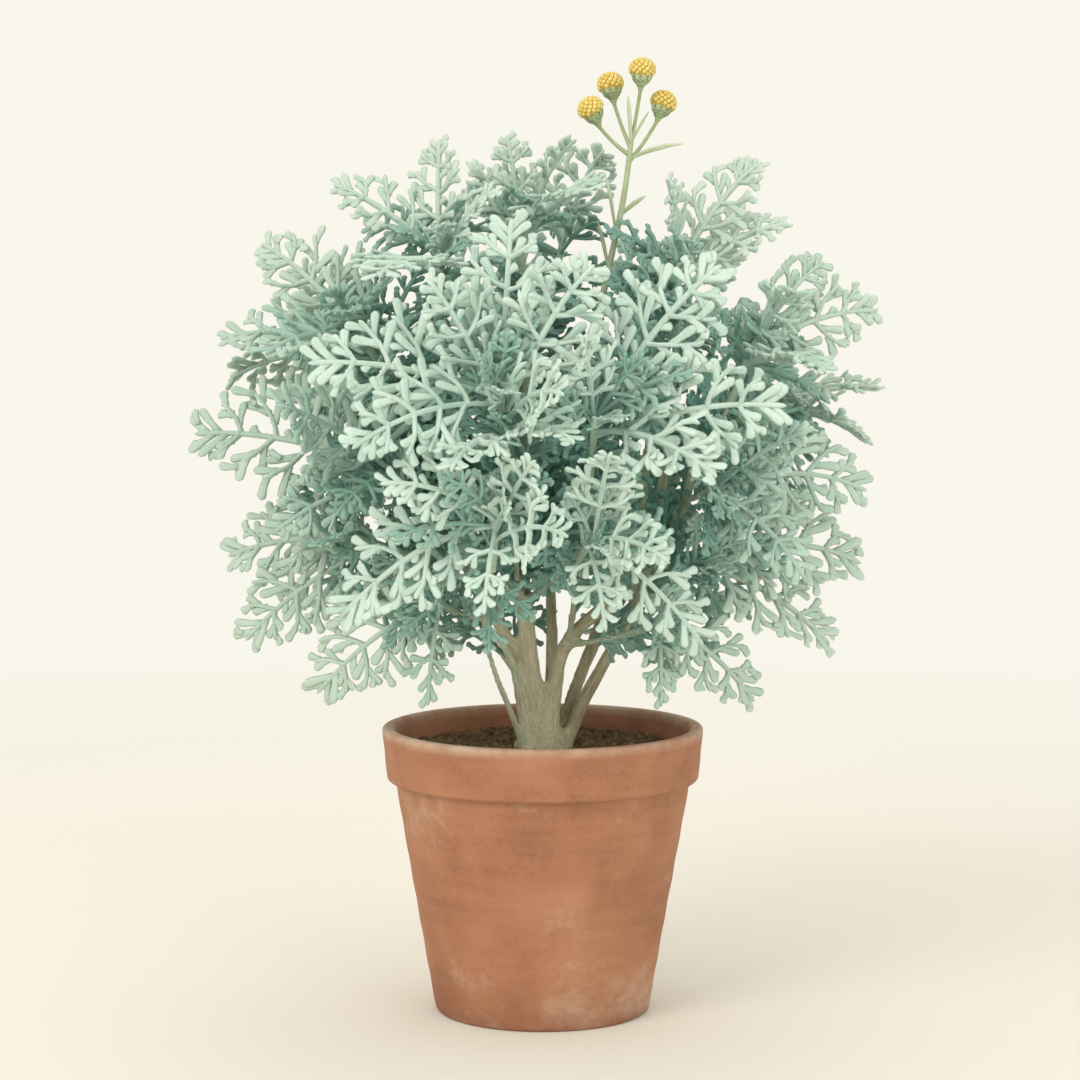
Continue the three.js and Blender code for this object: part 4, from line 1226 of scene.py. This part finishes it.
def makeHeadTree():
    tree, given = shapeTree("buttonHead", {**headSizes, "Centre": (0.0, 0.0, 0.0), "Axis": (0.0, 0.0, 1.0)})
    x, y, z = tree.place()
    ball = tree.add("MeshUVSphere", segments=40, rings=22, radius=given["Dome Radius"])
    flat = (z * given["Flatness"]).math("MAXIMUM", given["Foot"])
    dome = tree.add("SetPosition", ball, position=tree.add("CombineXYZ", x, y, flat))
    # the dome under the florets gets the lowest rise, for painted shade between the florets
    dome = tree.stored(dome, "rise", -1.0)

    count = tree.add("InputIndex")
    height = 1.0 - (count + 0.5) / given["Florets"] * (1.0 - given["Lowest"])
    out = (1.0 - height * height).math("SQRT")
    turn = count * (math.pi * (3 - math.sqrt(5)))
    spiral = tree.add("CombineXYZ", out * turn.math("COSINE"), out * turn.math("SINE"),
                      height * given["Flatness"])
    spots = tree.add("Points", count=given["Florets"], radius=mm,
                     position=spiral.vector("SCALE", scale=given["Dome Radius"]))
    spots = tree.stored(spots, "tone", tree.random(-1.0, 1.0, given["Seed"]))

    # one floret: a small barrel with a five-lobed rim and a sunken middle
    barrel = tree.add("MeshCylinder", fill_type="TRIANGLE_FAN", vertices=floretShape["vertices"],
                      sideSegments=floretShape["sideSegments"], radius=1.0, depth=1.0)
    radius = tree.add("CombineXYZ", x, y).vector("LENGTH")["Value"]
    upper = z + 0.5
    lobing = (y.math("ARCTAN2", x) * floretShape["lobes"]).math("COSINE")
    swell = (upper * 2.4).math("SINE") * 0.42 + 0.62
    lobed = swell * (lobing * upper * floretShape["lobing"] + 1.0)
    dip = (1.0 - radius) * upper * floretShape["dip"]
    # rise is painted shade: darker at a floret's foot and in its sunken middle, lighter at its rim
    floret = tree.stored(barrel, "rise", upper - dip * 2.5)
    floret = tree.add("SetPosition", floret, position=tree.add("CombineXYZ", x * lobed, y * lobed, z - dip))
    size = given["Floret Radius"] * (tree.attribute("tone") * 0.1 + 1.0)
    outward = tree.add("AlignRotationToVector", axis="Z", vector=tree.add("InputPosition"))
    florets = tree.add("InstanceOnPoints", points=spots, instance=floret, rotation=outward,
                       scale=tree.add("CombineXYZ", size, size, given["Floret Height"]))
    whole = tree.add("RealizeInstances", tree.add("JoinGeometry", [dome, florets]))
    tilt = tree.add("AlignRotationToVector", axis="Z", vector=given["Axis"])
    return endTree(tree, given, tree.add("Transform", whole, translation=given["Centre"], rotation=tilt))


flowerPaint = {
    "shades": ((0.0, "#c09b42"), (0.3, "#d9ba58"), (0.62, "#e7d072"), (1.0, "#f3e196")),
    "blotchScale": 160.0,
    "grainScale": 1500.0,
    "roughness": (0.6, 0.85),
    "bump": (0.35, 0.0003),
    "surface": {"sheenWeight": 0.15, "sheenRoughness": 0.5, "specularIORLevel": 0.3},
}


def paintFlower(tree):
    mottle = mottled(tree, flowerPaint)
    grain = mottle["Grain"]
    # painted shade and light from rise: dome, floret feet and sunken middles darker, floret rims lighter,
    # plus random tone
    shadeAndTone = tree.spotValue("rise").mapped(-0.4, 1.0, 0.0, 0.8) + tree.spotValue("tone") * 0.1
    shadeAndTone = shadeAndTone + mottle["Blotch"].swing(0.14) + grain.swing(0.07)
    return {"baseColor": shadeAndTone.ramp(flowerPaint["shades"]),
            "roughness": grain.mapped(0.0, 1.0, *flowerPaint["roughness"]),
            "normal": grain.bump(*flowerPaint["bump"]), **flowerPaint["surface"]}


headTree = makeHeadTree()
flowerMaterial = newMaterial("yellowFloret", paintFlower)
for i, (centre, axis, fork) in enumerate(headPlaces()):
    head = newPiece(f"flowerHead{i + 1}", [])
    growMesh(head, headTree, {**headSizes, "Centre": tuple(centre * mm), "Axis": tuple(axis),
                              "Seed": headSizes["Seed"] + i, "Material": flowerMaterial})
    finish(head, "flowers", f"flower_head_{i + 1}")

# Pot: plain thrown clay with a rim band, a flat foot and a drain hole
pot = {
    "height": 160.0, "rimRadius": 90.0, "footRadius": 60.0, "wall": 7.0, "floor": 9.0, "band": 30.0,
    "bandStep": 4.0, "rimTaper": 3.0, "drain": 7.0, "segments": 120, "step": 4.3, "arcSteps": 6,
    "ringHeight": 0.16, "ringEvery": 5.2, "ringLean": 0.6, "ringsWithin": (4, 155), "skin": 3,
    "wobble": 0.45, "wobbleAround": 1.3, "wobbleUp": 0.012,
}


def insideRadius(z):
    return pot["footRadius"] - pot["wall"] + (pot["rimRadius"] - pot["footRadius"]) * z / pot["height"]


# A closed profile with each corner rounded by its own radius
def roundedProfile(corners):
    rounded = []
    for i, (r, z, size) in enumerate(corners):
        here = np.array((r, z), float)
        before, after = (np.array(corners[k % len(corners)][:2], float) for k in (i - 1, i + 1))
        start, end = here + unit(before - here) * size, here + unit(after - here) * size
        rounded += [(1 - u) ** 2 * start + 2 * u * (1 - u) * here + u ** 2 * end
                    for u in np.linspace(0, 1, pot["arcSteps"])]
    return np.array(rounded)


def evenlySplit(profile, step):
    spots = []
    for a, b in zip(profile, np.roll(profile, -1, axis=0)):
        count = max(1, round(np.linalg.norm(b - a) / step))
        spots += [a + (b - a) * k / count for k in range(count)]
    return np.array(spots)


# Turns a closed profile of radius and height about z, and lets shift move each spot
def turnedPiece(name, profile, segments, shift):
    spots, faces = [], []
    for radius, z in profile:
        for k in range(segments):
            angle = 2 * math.pi * k / segments
            r, h = shift(radius, angle, z)
            spots.append((r * math.cos(angle) * mm, r * math.sin(angle) * mm, h * mm))
    for i in range(len(profile)):
        below, above = i * segments, (i + 1) % len(profile) * segments
        for k in range(segments):
            after = (k + 1) % segments
            faces.append((below + k, below + after, above + after, above + k))
    piece = newPiece(name, spots, faces=faces)
    piece.data.shade_smooth()
    return piece


def thrown(radius, angle, z):
    ring = wobble = 0
    around = pot["wobbleAround"]
    low, high = pot["ringsWithin"]
    if radius > insideRadius(z) + pot["skin"] and low < z < high:
        ring = math.sin(z / pot["ringEvery"] * 2 * math.pi + pot["ringLean"] * math.sin(angle))
    if z > 1:
        spot = (math.cos(angle) * around, math.sin(angle) * around, z * pot["wobbleUp"])
        wobble = noise.noise(Vector(spot))
    return radius + ring * pot["ringHeight"] + wobble * pot["wobble"], z


def makePot():
    foot = pot["height"] - pot["band"]
    under = pot["rimRadius"] - pot["rimTaper"]
    wall = pot["footRadius"] + (under - pot["bandStep"] - pot["footRadius"]) * foot / (foot + pot["rimTaper"])
    corners = ((pot["drain"], 0, 1), (pot["footRadius"], 0, 2.6), (wall, foot, 1.2), (under, foot + 0.6, 2.2),
               (pot["rimRadius"], pot["height"], 2.8), (insideRadius(pot["height"]), pot["height"], 2.6),
               (insideRadius(pot["floor"]), pot["floor"], 5), (pot["drain"], pot["floor"], 1))
    return turnedPiece("clayPot", evenlySplit(roundedProfile(corners), pot["step"]), pot["segments"], thrown)


clayPaint = {
    "body": ((0.0, "#875942"), (0.45, "#a67256"), (1.0, "#b98768")),
    "bloom": "#cdbaa5",
    "damp": "#7f533f",
    "blotchScale": 22.0,
    "grainScale": 420.0,
    "ringScale": 26.0,
    "ringStretch": (1.0, 1.0, 7.0),
    "pitScale": 900.0,
    "saltScale": 24.0,
    "roughness": (0.78, 0.95),
    "bump": (0.3, 0.0008),
}


def paintClay(tree):
    place = tree.objectPlace()
    mottle = mottled(tree, clayPaint)
    long = tree.add("Mapping", vector=place, scale=clayPaint["ringStretch"])
    rings = long.noise(clayPaint["ringScale"], 3.0)
    pits = place.noise(clayPaint["pitScale"], 2.0, 0.7)
    tone = mottle["Blotch"] * 0.45 + rings * 0.4 + mottle["Grain"].mapped(0.0, 1.0, -0.03, 0.15)
    height = tree.add("SeparateXYZ", place)["Z"]
    salt = place.noise(clayPaint["saltScale"], 6.0, 0.72)
    underBand = height.mapped(0.095, 0.129, 0.0, 0.1) * height.math("LESS_THAN", 0.13)
    bloom = (salt + height.mapped(0.0, 0.05, 0.16, 0.0) + underBand).mapped(0.6, 0.8, 0.0, 0.5)
    rimWear = height.mapped(0.154, 0.16) * salt.mapped(0.4, 0.6, 0.2, 0.8)
    body = bloom.math("MAXIMUM", rimWear).mixed(tone.ramp(clayPaint["body"]), colour(clayPaint["bloom"]))
    damp = height.mapped(0.03, 0.0) * rings.mapped(0.35, 0.6, 0.1, 0.6)
    return {"baseColor": damp.mixed(body, colour(clayPaint["damp"])),
            "roughness": bloom.mapped(0.0, 0.5, *clayPaint["roughness"]),
            "normal": (pits * 0.6 + rings * 0.8).bump(*clayPaint["bump"]), "specularIORLevel": 0.3}


clayPot = makePot()
clayPot.data.materials.append(newMaterial("firedClay", paintClay))
finish(clayPot, "pot", "pot")

# Soil: a lumpy bed in the pot with crumbs strewn over it
soil = {"edgeDrop": 2.0, "flatTo": 68, "holeRadius": 17.6, "holeDepth": 46.0, "innermost": 0.02,
        "segments": 108, "step": 2.8, "lump": 1.5, "fine": 0.7, "lumpyDown": 6, "evenAtWall": 6,
        "lumpScale": 0.075, "fineScale": 0.3}
crumbSizes = {"Crumbs": 90000.0, "Least": 0.7 * mm, "Most": 2.5 * mm, "Roughness": 0.75 * mm,
              "Above": 144.5 * mm, "Seed": 3}


def lumpy(radius, angle, z):
    if z < soilLevel - soil["lumpyDown"]:
        return radius, z
    spot = Vector((radius * math.cos(angle), radius * math.sin(angle), 0))
    lump = noise.noise(spot * soil["lumpScale"]) * soil["lump"]
    lump += noise.noise(spot * soil["fineScale"]) * soil["fine"]
    return radius, z + lump * min(max((insideRadius(soilLevel) - radius) / soil["evenAtWall"], 0), 1)


def makeSoilTree():
    tree, given = shapeTree("strewnCrumbs", crumbSizes)
    x, y, height = tree.place()
    onTop = height.math("GREATER_THAN", given["Above"])
    spread = tree.add("DistributePointsOnFaces", mesh=given, selection=onTop, density=given["Crumbs"],
                      seed=given["Seed"])
    size = tree.random(0.0, 1.0, given["Seed"]) ** 3.5 * (given["Most"] - given["Least"]) + given["Least"]
    spin = tree.add("RandomValue", (0, 0, 0), (6.28, 6.28, 6.28), data_type="FLOAT_VECTOR", seed=8)
    points = tree.stored(spread, "tone", tree.random(0.0, 1.0, 21))
    ball = tree.add("MeshIcoSphere", radius=1.0, subdivisions=1)
    crumbs = tree.add("InstanceOnPoints", points=points, instance=ball, rotation=spin, scale=size)
    wave = tree.add("TexNoise", scale=420.0, detail=1.0)["Color"]
    push = wave.vector("SUBTRACT", (0.5, 0.5, 0.5)).vector("SCALE", scale=given["Roughness"] * 2.4)
    rough = tree.add("SetPosition", tree.add("RealizeInstances", crumbs), offset=push)
    return endTree(tree, given, tree.add("JoinGeometry", [tree.stored(given, "tone", 0.35), rough]))


soilPaint = {
    "tones": ((0.0, "#463727"), (0.5, "#6c573e"), (0.85, "#917755"), (1.0, "#b0966e")),
    "blotchScale": 50.0,
    "grainScale": 900.0,
}


def paintSoil(tree):
    mottle = mottled(tree, soilPaint)
    tone = tree.spotValue("tone") * 0.5 + mottle["Blotch"] * 0.25 + mottle["Grain"] * 0.25
    return {"baseColor": tone.ramp(soilPaint["tones"]), "normal": mottle["Grain"].bump(0.6, 0.0008),
            "roughness": 0.95, "specularIORLevel": 0.2}


def makeSoilBed():
    edge = soilLevel - soil["edgeDrop"]
    floor = pot["floor"] + stemGap
    bottom = soilLevel - soil["holeDepth"]
    corners = np.array([(soil["innermost"], floor), (insideRadius(pot["floor"]) - stemGap, floor),
                        (insideRadius(edge) - stemGap, edge), (soil["flatTo"], soilLevel),
                        (soil["holeRadius"], soilLevel), (soil["holeRadius"], bottom),
                        (soil["innermost"], bottom)])
    return turnedPiece("soilBed", evenlySplit(corners, soil["step"]), soil["segments"], lumpy)


soilBed = makeSoilBed()
growMesh(soilBed, makeSoilTree(), {**crumbSizes, "Material": newMaterial("pottingSoil", paintSoil)})
finish(soilBed, "soil", "soil")

# Studio: a plain pale floor that fades into the air, soft lights, and a camera a little above
studio = {
    "floorRadius": 9.0,
    "floor": "#e6e3da",
    "fade": (0.42, 1.7),            # metres from the pot
    "air": "#f9f6ec",
    "airStrength": 1.0,
    "lights": {                     # place, aim, size, power and tint
        "keyLight": ((-1.1, -1.5, 1.5), (0, 0, 0.3), 1.1, 17.0, "#fffaf2"),
        "fillLight": ((1.0, -1.7, 0.45), (0, 0, 0.28), 1.2, 10.0, "#eef6f4"),
        "topLight": ((0.2, 0.9, 1.8), (0, 0, 0.3), 1.2, 5.0, "#fffaf0"),
    },
}
camera = {"elevation": math.radians(5), "lens": 100.0, "sensor": 36.0, "heightShare": 0.88}


def paintFloor(tree):
    black = (0, 0, 0, 1)
    fade = tree.objectPlace().vector("LENGTH")["Value"].mapped(*studio["fade"])
    return {"baseColor": fade.mixed(colour(studio["floor"]), black), "roughness": 0.9,
            "emissionColor": fade.mixed(black, colour(studio["air"])),
            "emissionStrength": studio["airStrength"], "specularIORLevel": 0.0}


def makeFloor():
    turns = np.linspace(0, 2 * math.pi, 64, endpoint=False)
    radius = studio["floorRadius"]
    rim = [(radius * math.cos(turn), radius * math.sin(turn), 0) for turn in turns]
    floor = newPiece("floor", rim, faces=[tuple(range(len(rim)))])
    floor.data.materials.append(newMaterial("paleFloor", paintFloor))


def placeInScene(made, place, backward):
    made.location = place
    made.rotation_euler = (-backward).to_track_quat("-Z", "Y").to_euler()
    bpy.context.scene.collection.objects.link(made)


def softLight(name, place, aim, size, power, tint):
    light = bpy.data.lights.new(name, "AREA")
    light.shape, light.size, light.energy = "DISK", size, power
    light.color = colour(tint)[:3]
    placeInScene(bpy.data.objects.new(name, light), place, Vector(place) - Vector(aim))


def makeCamera(low, high):
    data = bpy.data.cameras.new("camera")
    data.lens, data.sensor_width = camera["lens"], camera["sensor"]
    distance = (high.z - low.z) / camera["heightShare"] * camera["lens"] / camera["sensor"]
    back = Vector((0, -math.cos(camera["elevation"]), math.sin(camera["elevation"])))
    made = bpy.data.objects.new("camera", data)
    placeInScene(made, (low + high) / 2 + back * distance, back)
    bpy.context.scene.camera = made


makeFloor()
for name, light in studio["lights"].items():
    softLight(name, *light)
world = bpy.data.worlds.new("studio")
world.use_nodes = True
background = world.node_tree.nodes["Background"]
background.inputs["Color"].default_value = colour(studio["air"])
background.inputs["Strength"].default_value = studio["airStrength"]
bpy.context.scene.world = world
bpy.context.scene.view_settings.view_transform = "Standard"
print("studio made")

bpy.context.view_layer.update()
makeCamera(*map(Vector, cadBox))
